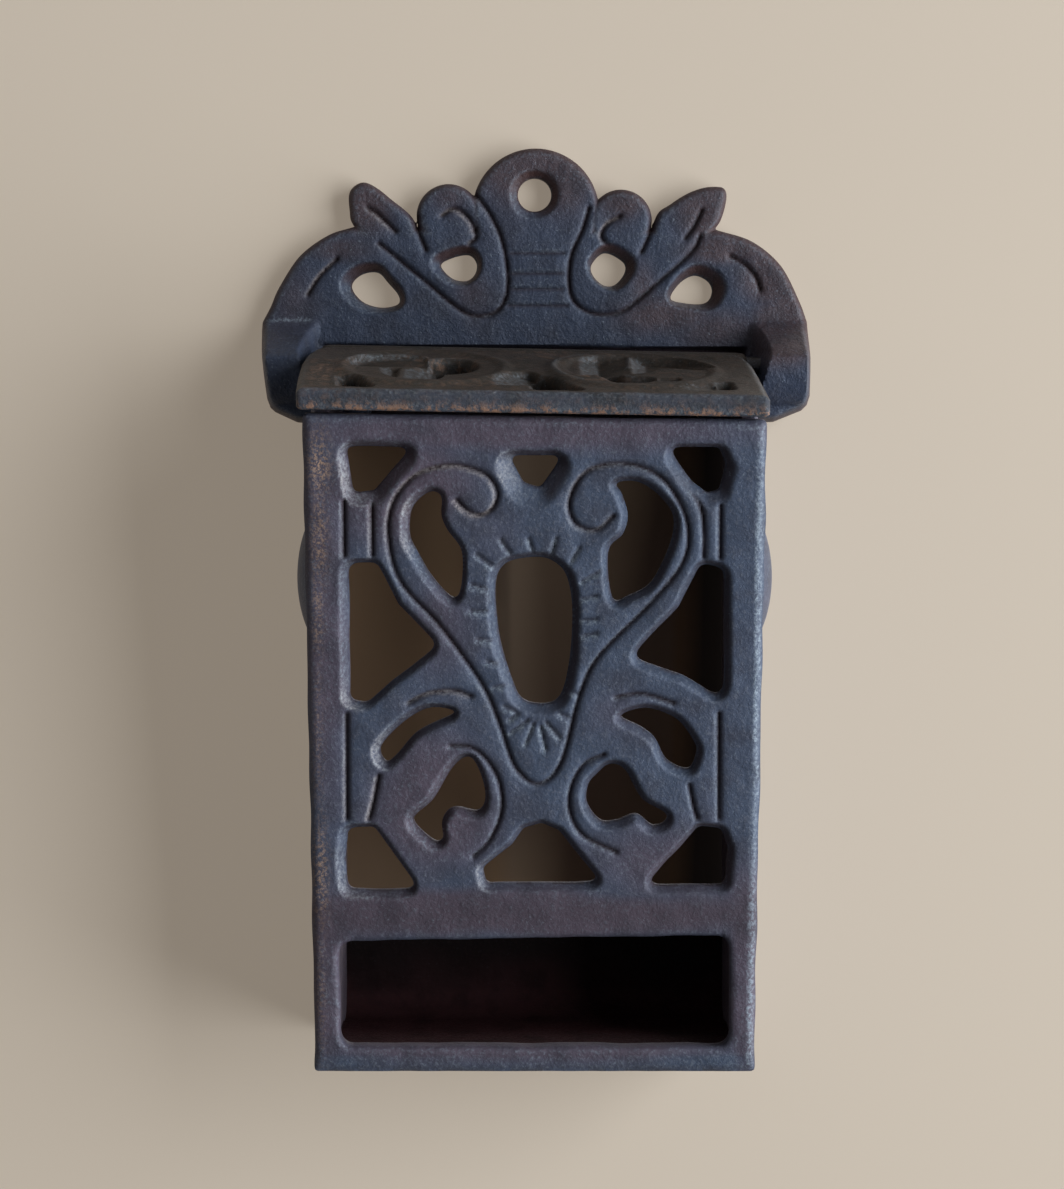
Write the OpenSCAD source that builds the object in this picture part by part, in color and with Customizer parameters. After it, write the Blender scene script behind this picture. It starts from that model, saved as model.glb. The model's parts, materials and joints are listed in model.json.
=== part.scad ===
// Wall match holder in cast iron: crested back plate, pierced front, pierced lid on two pins
// Millimetres. Front faces -Y, the wall is Y = 0, Z is up. Origin is the hanging hole at the wall.

/* [Body] */
// Outside width over the two side walls
body_w = 77; // [70:0.5:90]
// Side wall thickness
side_t = 3.5; // [2.5:0.25:5]
// Depth of the front face at its foot, from the wall
front_low = 36.5; // [30:0.5:45]
// Forward lean of the front panel in degrees
tilt = 5; // [2:0.5:8]
// Radius of the boss on each side wall
boss_r = 12.8; // [8:0.2:14]
// Height of that boss above the wall
boss_h = 4; // [2:0.25:5]
// Height of the boss centre above the foot
boss_z = 86.5; // [70:0.5:95]

/* [Front panel] */
// Panel thickness
panel_t = 4; // [3:0.25:6]
// Panel height along its face
panel_h = 116; // [110:0.5:120]
// Overhang of the panel's top corners beyond the side walls
panel_over = 1.2; // [0.8:0.1:2]
// Narrowing of each panel edge towards the foot
panel_taper = 1; // [0:0.1:2]
// Set-in of the match slot from the side walls
slot_in = 0.85; // [0.5:0.05:2]
// Height of the slot's lower edge
slot_low = 5.5; // [4:0.5:8]
// Height of the slot's upper edge
slot_top = 24.2; // [20:0.2:28]
// Rise of the slot's upper edge from left to right
slot_skew = 1; // [0:0.25:2]
// Height of the lower lugs along the face
lug_low = 54; // [50:0.5:58]
// Height of the upper lugs along the face
lug_high = 96; // [93:0.5:98]
// Lug reach behind the panel
lug_d = 8.4; // [7:0.2:10]
// Lug thickness
lug_t = 3; // [2.5:0.25:4]

/* [Back plate] */
// Plate thickness
back_t = 4.5; // [3.5:0.25:6]
// Rise of the hanging hole above the pivot
hang_up = 31.4; // [28:0.2:36]
// Hanging hole radius
hang_r = 3.1; // [2.5:0.1:4]
// Front bevel of the hanging hole
hang_bevel = 1.5; // [0.5:0.25:2]
// Drop of the tie bar's lower edge below the pivot
bar_drop = 10.6; // [9:0.2:12]
// Ear width from the lid's end outwards
ear_w = 10.1; // [8.5:0.1:14]
// Ear radius round the pivot
ear_r = 8.2; // [7:0.1:9]
// Reach of the ear's foot in front of the wall
ear_foot = 13; // [10:0.5:15]
// Height of the ear's foot against the side wall
ear_foot_h = 6; // [4:0.5:7]
// Width of the ear's foot along the bar
ear_foot_w = 4.5; // [3:0.5:6]
// Rise of the ear's sloped underside
ear_rise = 3.3; // [2:0.1:5]
// Size of the small corner under the ear
ear_corner = 1.2; // [0.5:0.1:2]
// Width of the slope at the ear's inner top corner
ear_slope = 4; // [2:0.5:4]

/* [Lid and hinge] */
// Set-in of the lid's ends from the panel's top corners
lid_in = 0.2; // [0:0.1:0.6]
// Lid length from the pivot to the front edge
lid_l = 39.2; // [38:0.1:42]
// Lid thickness
lid_t = 3.8; // [3:0.1:5]
// Fall of the closed lid to the front in degrees
slope = 11.4; // [8:0.2:14]
// Pivot distance from the wall
hinge_y = 9.5; // [9:0.1:11]
// Radius of the rib along the lid's back edge
rib_r = 2.85; // [2.5:0.05:3.5]
// Hinge pin radius
pin_r = 1.5; // [1.2:0.05:1.8]
// Depth of the pin in the lid
pin_in = 9; // [6:0.5:12]
// Gap between lid end and ear
ear_gap = 0.7; // [0.4:0.1:1.2]
// Outer radius of the ring ornaments
ring_r = 14.5; // [12:0.5:16]
// Width of the ring ornaments
ring_w = 2.2; // [1.5:0.1:3]
// Radial play of the pins in the ears
pin_play = 0.05; // [0.02:0.01:0.1]
// Gap between the closed lid and the side walls
seat_gap = 0.35; // [0.3:0.05:0.6]
// Gap between the closed lid and the panel's top edge
front_gap = 0.58; // [0.3:0.02:1]
// Gap round the lid's rib
rib_gap = 0.4; // [0.3:0.05:0.6]

/* [Match tray] */
// Tray thickness
tray_t = 3; // [2:0.25:4]
// Underside of the tray floor
tray_low = 1; // [0.5:0.25:2]
// Outside radius of the turned-up back
tray_r = 8; // [6:0.5:10]
// Top of the turned-up back
tray_top = 20; // [12:0.5:26]
// Length of the end tenons
tenon_l = 12; // [8:0.5:16]
// Distance of the end tenons from the wall
tenon_y = 10; // [8:0.5:14]

/* [Rivets and ornament] */
// Rivet radius
rivet_r = 1.5; // [1.2:0.05:1.8]
// Width of the lugs behind the tie bar
bar_lug_w = 5; // [4:0.5:7]
// Depth of the lugs behind the tie bar
bar_lug_d = 5.5; // [4:0.5:7]
// Gap over the lugs behind the tie bar
bar_lug_gap = 1; // [0.5:0.1:2]
// Rivet head radius
head_r = 2.8; // [2.4:0.1:3.2]
// Rivet head height
head_h = 1.1; // [0.8:0.1:1.6]
// Play round rivets and tenons
fit_gap = 0.03; // [0.01:0.01:0.1]
// Width of the cut lines
line_w = 1.3; // [0.8:0.1:2]
// Depth of the cut lines
line_d = 0.8; // [0.4:0.1:1.2]
// Height of raised bands on the sides and lid
band_h = 0.8; // [0.5:0.1:1.2]
// Width of the scroll bands on the sides
band_w = 3; // [2:0.25:4]

/* [Hidden] */
$fn = 48;

wall_x = body_w / 2;
panel_top_w = body_w + 2 * panel_over;
panel_low_w = panel_top_w - 2 * panel_taper;
in_x = wall_x - side_t;
slot_w = 2 * (in_x - slot_in);
lid_w = panel_top_w - 2 * lid_in;
ear_in = lid_w / 2 + ear_gap;
ear_x = ear_in + ear_w;
panel_top_y = -front_low - panel_h * sin(tilt);
panel_top_z = panel_h * cos(tilt);
hinge_z = panel_top_z - (panel_top_y + hinge_y) * tan(slope) + (lid_t - rib_r + front_gap) / cos(slope);
hang_z = hinge_z + hang_up;
bar_low = hinge_z - bar_drop;
ear_top = hinge_z + ear_r;
lug_n = panel_t + lug_d / 2;
bar_lug_h = hinge_z - rib_r - bar_lug_gap - bar_low;
bar_lug_z = bar_low + bar_lug_h / 2;
rivet_x = in_x - bar_lug_w / 2;
crest_k = (hang_z - bar_low) / 42;

// Ornament follows the piece that it is on: front drawn 79.4 by 116, crest drawn 50.3 to a side
// and 42 from the bar to the hanging hole, lid drawn 79 by 39.2, sides drawn 36.5 by 86.5
function on_panel(p) = [for (q = p) [q[0] * panel_top_w / 79.4, q[1] * panel_h / 116]];
function on_crest(p) = [for (q = p) [q[0] * ear_x / 50.3, bar_low + (q[1] - 114) * crest_k]];
function on_top(p) = [for (q = p) [q[0] * lid_w / 79, (3 - q[1]) * lid_l / 39.2]];
function on_side(p) = [for (q = p) [q[0] * front_low / 36.5, q[1] * boss_z / 86.5]];

// Smooth curve through points: cubic between b and c
function bend(a, b, c, d, t) =
    0.5 * (2 * b + (c - a) * t + (2 * a - 5 * b + 4 * c - d) * t * t + (3 * b - a - 3 * c + d) * t * t * t);

// Closed smooth outline through the points of p, n steps from one to the next
function loop(p, n = 4) = [
    for (i = [0 : len(p) - 1])
        for (k = [0 : n - 1])
            bend(p[(i + len(p) - 1) % len(p)], p[i], p[(i + 1) % len(p)], p[(i + 2) % len(p)], k / n)
];

// Open smooth line through the points of p
function line(p, n = 4) = concat([
    for (i = [0 : len(p) - 2])
        for (k = [0 : n - 1])
            bend(p[max(i - 1, 0)], p[i], p[i + 1], p[min(i + 2, len(p) - 1)], k / n)
], [p[len(p) - 1]]);

// A point r from corner b towards a, at most half way
function near(a, b, r) = b + (a - b) * min(0.5, r / norm(a - b));

// Straight-sided outline with each corner rounded over r
function soft(p, r, n = 4) = [
    for (i = [0 : len(p) - 1])
        let (b = p[i],
             s = near(p[(i + len(p) - 1) % len(p)], b, r),
             e = near(p[(i + 1) % len(p)], b, r))
        for (k = [0 : n])
            let (t = k / n)
            s * (1 - t) * (1 - t) + b * 2 * t * (1 - t) + e * t * t
];

// Unit vector square to the run of q at i
function square_to(q, i) =
    let (d = q[min(i + 1, len(q) - 1)] - q[max(i - 1, 0)])
    [-d[1], d[0]] / norm(d);

// Strip of width w along q, narrower at both ends
function strip(q, w) = concat(
    [for (i = [0 : len(q) - 1])
        q[i] + square_to(q, i) * w / 2 * min(1, 0.4 + 0.2 * min(i, len(q) - 1 - i))],
    [for (j = [0 : len(q) - 1])
        let (i = len(q) - 1 - j)
        q[i] - square_to(q, i) * w / 2 * min(1, 0.4 + 0.2 * min(i, len(q) - 1 - i))]
);

// World Y and Z of a point v up the front panel and n behind its face
function face_y(v, n) = -front_low - v * sin(tilt) + n * cos(tilt);
function face_z(v, n) = v * cos(tilt) + n * sin(tilt);

// Y of the panel's back face at height z
function inner_y(z) = -front_low - z * tan(tilt) + panel_t / cos(tilt);

// Height of the rim under the lid at y
function rim(y) = hinge_z + (y + hinge_y) * tan(slope) - (lid_t - rib_r + seat_gap) / cos(slope);

module in_frame() translate([0, 0, -hang_z]) children();

module upright(t) rotate([90, 0, 0]) linear_extrude(t) children();

module on_front() translate([0, -front_low, 0]) rotate([tilt, 0, 0]) rotate([90, 0, 0]) children();

module on_lid() translate([0, -hinge_y, hinge_z]) rotate([slope, 0, 0]) children();

module across(x, t) translate([x, 0, 0]) rotate([90, 0, 90]) linear_extrude(t) children();

module rod(x0, x1, r) translate([x0, 0, 0]) rotate([0, 90, 0]) cylinder(r = r, h = x1 - x0);

// Low round head with its flat at z = 0
module dome(r, h) {
    ball = (r * r + h * h) / (2 * h);
    intersection() {
        translate([0, 0, h - ball]) sphere(ball);
        translate([-r - 1, -r - 1, 0]) cube([2 * r + 2, 2 * r + 2, h + 1]);
    }
}

// Cut lines

crest_lines = [for (q = [
    line([[-10.8, 156], [-8, 152], [-6, 147.5], [-5, 142], [-5.2, 137.5], [-7, 134.6], [-10, 133.7],
          [-13.5, 134.7], [-20.5, 140.4], [-28.6, 147]]),
    line([[10, 153.5], [8.8, 149.6], [6.8, 145], [6.3, 140.5], [7, 136.8], [9.5, 134.6], [13, 134],
          [16.5, 134.8], [22, 139.3], [28.8, 145.4], [30.5, 148.4]]),
    line([[-30.7, 153.6], [-28.6, 152.2], [-25.5, 149.2]]),
    line([[30.7, 153], [29.2, 150], [27.7, 148]]),
    line([[-21.5, 151.8], [-21.5, 149.6], [-20, 145.8]]),
    line([[22.3, 152.4], [21, 148.4], [19.6, 145.4]]),
    line([[-17, 152.2], [-14.7, 153.4], [-12, 151.5], [-10.7, 148.4], [-12, 147]]),
    line([[15.7, 152], [13.4, 150.7], [12.3, 148.4], [13.4, 146.6]]),
    line([[-36.3, 144.2], [-39.4, 141.2], [-41.7, 137.7]]),
    line([[36, 144.7], [38.8, 143], [40.7, 140.8], [41.5, 138.5]]),
    [[-4.5, 145.2], [0, 145.2], [5.5, 145.2]],
    [[-4.2, 141.5], [0, 141.5], [5.2, 141.5]],
    [[-4.2, 138.6], [0, 138.6], [5.2, 138.6]],
    [[-4.8, 135.6], [0, 135.6], [6, 135.6]]
]) on_crest(q)];

front_lines = [for (q = [
    line([[-10, 98], [-7, 99.5], [-6.3, 102.5], [-8.5, 105.5], [-14, 107], [-20, 105.5], [-24, 101],
          [-25, 95], [-23, 87], [-16, 79], [-9, 69], [-6, 62], [-3.3, 54.5], [0.7, 51.6], [4.6, 55.5],
          [7.7, 67], [11, 74], [19.7, 83], [25.5, 90.5], [26, 97.5], [22, 104.5], [15.7, 107.2],
          [9, 106], [6, 101], [7, 97], [10.5, 95.9], [13.5, 98.3]]),
    line([[-14.6, 58.3], [-11, 58], [-8, 55.5], [-6, 51.5], [-5.8, 46.5], [-7.8, 41.7], [-10.6, 38.8]]),
    line([[12, 56.8], [8.5, 55], [6.3, 51], [6.2, 46.5], [8.5, 42.4], [14.2, 39.5]]),
    line([[-21.8, 65.8], [-18.5, 67.5], [-14, 68], [-11, 67]]),
    line([[14, 66.8], [18.5, 67.4], [24, 65.8]]),
    line([[25.7, 104], [28.3, 100], [29, 95.5], [29, 91]]),
    [[-32.6, 100.8], [-32.6, 95], [-32.6, 91.5]],
    [[-32.4, 63.8], [-32.4, 54], [-32.5, 45.5]],
    [[-27.8, 100.3], [-27.8, 95], [-27.8, 91.5]],
    [[-27, 53], [-28, 48], [-28.7, 45.5]],
    [[31.8, 100], [31.8, 95], [31.8, 91]],
    [[31.8, 64], [31.9, 54], [32, 45.5]],
    [[26.8, 51.4], [27.6, 47.5], [28.2, 45.5]]
]) on_panel(q)];

// Lower edge of the right ear, from its outer side in to the foot
function ear_underside() = [
    [ear_x, bar_low + ear_rise + ear_corner],
    [ear_x - ear_corner, bar_low + ear_rise],
    [wall_x + ear_foot_w, bar_low]
];

// Parts

module crest_outline() {
    polygon(concat(
        on_crest(line([[-50.3, 132.6], [-48.6, 135.4], [-47, 139], [-43.2, 144.7], [-38, 148.5],
                       [-33.5, 150]])),
        on_crest(line([[33.5, 149.5], [40, 147.4], [45.3, 143], [48.7, 136.6], [50.3, 132.6]])),
        ear_underside(),
        [for (i = [2 : -1 : 0]) [-ear_underside()[i][0], ear_underside()[i][1]]]));
    polygon(loop(on_crest([[-33.4, 150.5], [-34, 153], [-34.1, 156], [-33, 157.6], [-31.2, 158.2],
                           [-29, 157.2], [-26.6, 155.3], [-22.3, 151.5], [-22, 147.5], [-30, 147]])));
    polygon(loop(on_crest([[33.4, 150], [34.6, 152.2], [35.3, 155.3], [35, 156.9], [33.8, 157.4],
                           [31, 157.2], [28, 156.1], [25, 154.2], [22.5, 152.2], [22, 147.5],
                           [30, 147]])));
    translate(on_crest([[-15.8, 152]])[0]) circle(5.9 * crest_k);
    translate(on_crest([[15.9, 151.2]])[0]) circle(5.7 * crest_k);
    translate(on_crest([[0.2, 152.7]])[0]) circle(11.7 * crest_k);
}

module crest_holes() {
    polygon(loop(on_crest([[-33.8, 139.3], [-32, 141.4], [-29, 141.8], [-27, 140], [-25, 137.7],
                           [-25.2, 136], [-28.6, 135.4], [-32, 136.6]])));
    polygon(loop(on_crest([[25.3, 137.7], [27.3, 140.2], [29.6, 141.2], [32, 140.2], [32.8, 138.5],
                           [32, 136.6], [30, 136], [25.7, 136.5]])));
    polygon(loop(on_crest([[-17.3, 143.5], [-14.8, 144.7], [-12, 145], [-10.7, 143.5], [-11, 141.6],
                           [-12.4, 140.4], [-14.8, 140.6], [-16.7, 142]])));
    polygon(loop(on_crest([[10.5, 143], [12, 145], [13.8, 145.2], [16.5, 143.5], [16.5, 141.6],
                           [14.6, 139.5], [12.7, 139.5], [10.9, 141.2]])));
}

// Right ear: rounded block round the pivot with a foot against the side wall
module ear() {
    intersection() {
        across(wall_x, ear_x - wall_x) {
            translate([-hinge_y, hinge_z]) circle(ear_r);
            translate([-hinge_y, hinge_z - ear_r]) square([hinge_y, 2 * ear_r]);
            translate([-ear_foot, bar_low]) square([ear_foot, hinge_z - bar_low]);
        }
        upright(hinge_y + 2 * ear_r)
            polygon(concat(ear_underside(), [
                [wall_x, bar_low],
                [wall_x, bar_low + ear_foot_h],
                [ear_in, bar_low + ear_foot_h],
                [ear_in, ear_top - 1.5 * ear_slope],
                [ear_in + 2 * ear_slope, ear_top + 1.5 * ear_slope],
                [ear_x, ear_top + 1.5 * ear_slope]
            ]));
    }
}

module pivot_bore(r) translate([0, -hinge_y, hinge_z]) rod(ear_in - ear_gap, ear_x + ear_gap, r);

module back_rivet_axis() translate([rivet_x, 0, bar_lug_z]) rotate([90, 0, 0]) children();

module back_plate() color([0.22, 0.2, 0.22]) in_frame() difference() {
    union() {
        upright(back_t) crest_outline();
        ear();
        mirror([1, 0, 0]) ear();
    }
    translate([0, 1, 0]) upright(back_t + 2) crest_holes();
    translate([0, 1, hang_z]) rotate([90, 0, 0]) cylinder(r = hang_r, h = back_t + 2);
    translate([0, hang_bevel - back_t, hang_z]) rotate([90, 0, 0])
        cylinder(r1 = hang_r, r2 = hang_r + hang_bevel, h = hang_bevel);
    for (q = crest_lines)
        translate([0, line_d - back_t, 0]) upright(line_d + 1) polygon(strip(q, line_w));
    for (m = [0, 1]) mirror([m, 0, 0]) {
        pivot_bore(pin_r + pin_play);
        back_rivet_axis() translate([0, 0, -1]) cylinder(r = rivet_r + fit_gap, h = back_t + 2);
    }
}

module front_holes() {
    polygon(soft(on_panel([[-32.5, 110], [-21, 110], [-27.5, 102.5], [-31, 102]]), 1.2));
    polygon(soft(on_panel([[-4.5, 108.5], [5, 108.5], [1, 103], [-2, 104]]), 1.2));
    polygon(soft(on_panel([[23, 110], [31.5, 110], [32.7, 107], [31.7, 102.5], [29.5, 102],
                           [27, 104]]), 1.2));
    polygon(loop(on_panel([[-18, 102.3], [-16, 101.5], [-16, 98], [-15, 95.5], [-12.5, 92], [-12.7, 86],
                           [-14, 84], [-17.3, 87.3], [-20, 91.6], [-21.5, 95], [-21, 99.5]])));
    polygon(loop(on_panel([[14, 103.7], [17.5, 104], [21.3, 101.8], [23.8, 98], [23.2, 92.8],
                           [20.2, 87], [16.3, 84.3], [13.5, 83.8], [12.7, 92], [15.2, 95], [16, 98.3],
                           [15, 101.8]])));
    polygon(loop(on_panel([[0.3, 91], [-4.9, 90], [-6.7, 86], [-6, 77.5], [-3.8, 69.5], [-1.5, 66],
                           [3.5, 66], [5.7, 71.3], [6.5, 81], [5.6, 87.5], [3.5, 90.2]])));
    polygon(soft(on_panel([[-32, 90], [-27, 90], [-23.5, 83], [-16.5, 75.5], [-24.5, 69.5], [-29, 65.5],
                           [-32, 66]]), 2));
    polygon(soft(on_panel([[28.5, 90], [32.7, 89], [32.7, 66], [25.3, 70.5], [16.3, 73.5],
                           [24.7, 82.5]]), 2));
    polygon(loop(on_panel([[-26.6, 58], [-25.8, 55.2], [-24, 56.4], [-20.4, 60.4], [-14.3, 63.5],
                           [-15.1, 64.6], [-18.5, 64.7], [-23, 62]])));
    polygon(loop(on_panel([[15, 63.2], [17.5, 64.6], [20.8, 64.6], [24.8, 62.6], [27.6, 58.7],
                           [27.9, 56.5], [26.5, 54], [23, 55.4], [20.8, 59.3], [18.6, 61.1]])));
    polygon(loop(on_panel([[-12.3, 56], [-10.6, 55.6], [-9, 52], [-8.6, 48.6], [-10, 46.6], [-14, 47.2],
                           [-16, 45], [-16, 41.7], [-17.6, 41.3], [-21, 45], [-17.4, 48.6],
                           [-14.6, 53.7]])));
    polygon(loop(on_panel([[10.7, 53], [13, 54.8], [15.8, 53.7], [18.6, 48.8], [22.6, 46.2],
                           [22.6, 44.6], [20.4, 44], [17.5, 46], [14.2, 44.8], [11.4, 44.8], [9.1, 48],
                           [9.3, 51.2]])));
    polygon(soft(on_panel([[-32.5, 43.7], [-28, 43.7], [-25.2, 39.8], [-20, 32.5], [-32.5, 32.5],
                           [-33, 38]]), 1.5));
    polygon(soft(on_panel([[1.2, 44.5], [-2, 43.5], [-4, 40.5], [-9, 36.5], [-8.5, 33.6], [11.5, 33.8],
                           [7, 39.5], [4.2, 43.2]]), 1.2));
    polygon(soft(on_panel([[28.5, 43.7], [32.5, 43.5], [33.8, 40], [33.2, 33.3], [19.5, 33.3],
                           [23, 37.6]]), 1.5));
    polygon(soft([[-slot_w / 2, slot_top - slot_skew / 2], [slot_w / 2, slot_top + slot_skew / 2],
                  [slot_w / 2, slot_low], [-slot_w / 2, slot_low]], 2.5));
}

module front_rivet_axis(v) translate([0, face_y(v, lug_n), face_z(v, lug_n)]) children();

module front_panel() color([0.24, 0.22, 0.24]) in_frame() difference() {
    on_front() {
        translate([0, 0, -panel_t]) linear_extrude(panel_t)
            polygon([[-panel_low_w / 2, 0], [panel_low_w / 2, 0],
                     [panel_top_w / 2, panel_h], [-panel_top_w / 2, panel_h]]);
        for (m = [0, 1])
            mirror([m, 0, 0])
                for (v = [lug_low, lug_high])
                    translate([in_x - lug_t, v - lug_d / 2, -panel_t - lug_d])
                        cube([lug_t, lug_d, lug_d]);
    }
    on_front() {
        translate([0, 0, -panel_t - 1]) linear_extrude(panel_t + 2) front_holes();
        for (q = front_lines)
            translate([0, 0, -line_d]) linear_extrude(line_d + 1) polygon(strip(q, line_w));
    }
    for (m = [0, 1])
        mirror([m, 0, 0])
            for (v = [lug_low, lug_high])
                front_rivet_axis(v) rod(in_x - lug_t - 1, in_x + 1, rivet_r + fit_gap);
}

side_scroll = on_side(line([[-30, 66], [-22, 68.5], [-12, 64], [-12, 55], [-20, 50], [-26, 44], [-24, 35],
                            [-14, 31], [-7, 35]]));
side_top_scroll = on_side(line([[-8, 104], [-14, 108.5], [-22, 104.5], [-30, 108.5], [-36, 104]]));

module right_wall() {
    across(in_x, side_t) difference() {
        polygon([[0, 0], [inner_y(0), 0], [inner_y(panel_h), rim(inner_y(panel_h))],
                 [-back_t, rim(-back_t)], [-back_t, bar_low], [0, bar_low]]);
        translate([-hinge_y, hinge_z]) circle(rib_r + rib_gap);
        translate([-hinge_y, hinge_z - rib_r - rib_gap]) square([hinge_y, ear_r]);
        translate([-tenon_y - tenon_l - fit_gap, tray_low - fit_gap])
            square([tenon_l + 2 * fit_gap, tray_t + 2 * fit_gap]);
    }
    translate([in_x - bar_lug_w, -back_t - bar_lug_d, bar_low]) cube([bar_lug_w, bar_lug_d, bar_lug_h]);
    translate([wall_x, inner_y(boss_z) / 2, boss_z]) rotate([0, 90, 0]) dome(boss_r, boss_h);
    across(wall_x, band_h) {
        polygon(strip(side_scroll, band_w));
        polygon(strip(side_top_scroll, 0.8 * band_w));
    }
}

module right_wall_bored() difference() {
    right_wall();
    for (v = [lug_low, lug_high])
        front_rivet_axis(v) rod(in_x - 1, wall_x + 1, rivet_r + fit_gap);
    back_rivet_axis() cylinder(r = rivet_r + fit_gap, h = back_t + bar_lug_d + 1);
}

module right_side() color([0.2, 0.19, 0.21]) in_frame() right_wall_bored();

module left_side() color([0.2, 0.19, 0.21]) in_frame() mirror([1, 0, 0]) right_wall_bored();

module match_tray() color([0.28, 0.2, 0.18]) in_frame() {
    across(-in_x, 2 * in_x)
        difference() {
            union() {
                polygon([[inner_y(tray_low), tray_low], [-tray_r, tray_low], [-tray_r, tray_low + tray_t],
                         [inner_y(tray_low + tray_t), tray_low + tray_t]]);
                intersection() {
                    translate([-tray_r, tray_low + tray_r]) circle(tray_r);
                    translate([-tray_r, tray_low]) square([tray_r, tray_r]);
                }
                translate([-tray_t, tray_low + tray_r]) square([tray_t, tray_top - tray_low - tray_r]);
            }
            translate([-tray_r, tray_low + tray_r]) circle(tray_r - tray_t);
        }
    for (m = [0, 1])
        mirror([m, 0, 0])
            translate([in_x, -tenon_y - tenon_l, tray_low]) cube([side_t, tenon_l, tray_t]);
}

// Lid outlines are drawn with y measured forward from 3 mm behind the pivot
module lid_holes() {
    polygon(loop(on_top([[-19, 14], [-15, 11.5], [-11, 14], [-9.5, 20], [-11.5, 25.5], [-17, 27.5],
                         [-17.5, 21]])));
    polygon(loop(on_top([[9, 17], [13, 13], [18.5, 13.5], [19.5, 20], [17, 27], [16, 34], [13.5, 33],
                         [11.5, 28], [9, 24]])));
    polygon(soft(on_top([[-0.5, 28], [1.5, 28], [8.5, 39], [0, 39]]), 1));
    polygon(soft(on_top([[-33.5, 31], [-31, 32], [-27.5, 38.5], [-33, 39]]), 1));
    polygon(soft(on_top([[31, 36], [33.5, 35], [34, 40], [30.5, 40]]), 1));
}

module lid() color([0.3, 0.27, 0.24]) in_frame() on_lid() difference() {
    union() {
        translate([-lid_w / 2, -lid_l, rib_r - lid_t]) cube([lid_w, lid_l, lid_t]);
        rod(-lid_w / 2, lid_w / 2, rib_r);
        for (c = on_top([[-19.5, 22], [17.5, 22]]))
            translate([c[0], c[1], rib_r - band_h]) difference() {
                cylinder(r = ring_r, h = 2 * band_h);
                translate([0, 0, -band_h]) cylinder(r = ring_r - ring_w, h = 4 * band_h);
            }
    }
    translate([0, 0, rib_r - lid_t - 1]) linear_extrude(lid_t + 4 * band_h) lid_holes();
    for (m = [0, 1])
        mirror([m, 0, 0]) rod(lid_w / 2 - pin_in, lid_w / 2 + 1, pin_r);
}

module hinge_pin() translate([0, -hinge_y, hinge_z]) rod(lid_w / 2 - pin_in, ear_x, pin_r);

module right_hinge_pin() color([0.35, 0.34, 0.34]) in_frame() hinge_pin();

module left_hinge_pin() color([0.35, 0.34, 0.34]) in_frame() mirror([1, 0, 0]) hinge_pin();

module front_rivets() color([0.3, 0.28, 0.28]) in_frame()
    for (m = [0, 1])
        mirror([m, 0, 0])
            for (v = [lug_low, lug_high])
                front_rivet_axis(v) {
                    rod(in_x - lug_t, wall_x, rivet_r);
                    translate([wall_x, 0, 0]) rotate([0, 90, 0]) dome(head_r, head_h);
                }

module back_rivets() color([0.3, 0.28, 0.28]) in_frame()
    for (m = [0, 1])
        mirror([m, 0, 0])
            back_rivet_axis() {
                cylinder(r = rivet_r, h = back_t + bar_lug_d);
                translate([0, 0, back_t + bar_lug_d]) dome(0.85 * head_r, head_h);
            }

back_plate();
front_panel();
left_side();
right_side();
match_tray();
lid();
left_hinge_pin();
right_hinge_pin();
front_rivets();
back_rivets();
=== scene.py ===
import json
import math
import bpy
import numpy as np
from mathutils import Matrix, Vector


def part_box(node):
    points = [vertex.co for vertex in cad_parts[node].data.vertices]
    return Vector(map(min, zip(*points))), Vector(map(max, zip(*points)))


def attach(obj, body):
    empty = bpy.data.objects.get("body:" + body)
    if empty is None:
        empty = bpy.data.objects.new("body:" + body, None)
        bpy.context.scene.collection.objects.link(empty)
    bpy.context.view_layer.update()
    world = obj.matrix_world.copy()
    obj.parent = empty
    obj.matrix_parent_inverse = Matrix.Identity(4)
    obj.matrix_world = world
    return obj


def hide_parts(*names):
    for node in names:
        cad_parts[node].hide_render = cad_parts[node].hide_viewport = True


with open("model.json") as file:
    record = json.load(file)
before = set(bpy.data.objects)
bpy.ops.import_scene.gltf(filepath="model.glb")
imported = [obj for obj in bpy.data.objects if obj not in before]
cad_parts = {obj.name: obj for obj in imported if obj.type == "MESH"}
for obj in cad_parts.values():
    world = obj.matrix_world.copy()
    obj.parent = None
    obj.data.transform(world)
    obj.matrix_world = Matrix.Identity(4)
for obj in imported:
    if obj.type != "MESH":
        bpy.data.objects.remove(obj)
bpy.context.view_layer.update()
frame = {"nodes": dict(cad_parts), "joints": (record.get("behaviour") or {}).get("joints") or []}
print("frame loaded")

mm = 0.001
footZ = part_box("front_panel")[0].z  # the foot of the holder; heights below are in mm above it
hinge = [c / mm for c in frame["joints"][0]["pos_m"]]
hingeY, hingeH = hinge[1], hinge[2] - footZ / mm


# curves and distances in a plane

def smoothPath(points, closed=True, steps=8):
    # cubic through the points whose slope at each is half the step between its neighbours
    p = np.array(points, float)
    if closed:
        a, b, c, d = np.roll(p, 1, 0), p, np.roll(p, -1, 0), np.roll(p, -2, 0)
    else:
        q = np.vstack([2 * p[0] - p[1], p, 2 * p[-1] - p[-2]])
        a, b, c, d = q[:-3], q[1:-2], q[2:-1], q[3:]
    a, b, c, d = (k[:, None, :] for k in (a, b, c, d))
    t = np.linspace(0, 1, steps, endpoint=False)[None, :, None]
    curve = b + 0.5 * ((c - a) * t + (2 * a - 5 * b + 4 * c - d) * t**2 + (3 * b - a - 3 * c + d) * t**3)
    curve = curve.reshape(-1, 2)
    return curve if closed else np.vstack([curve, p[-1]])


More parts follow.
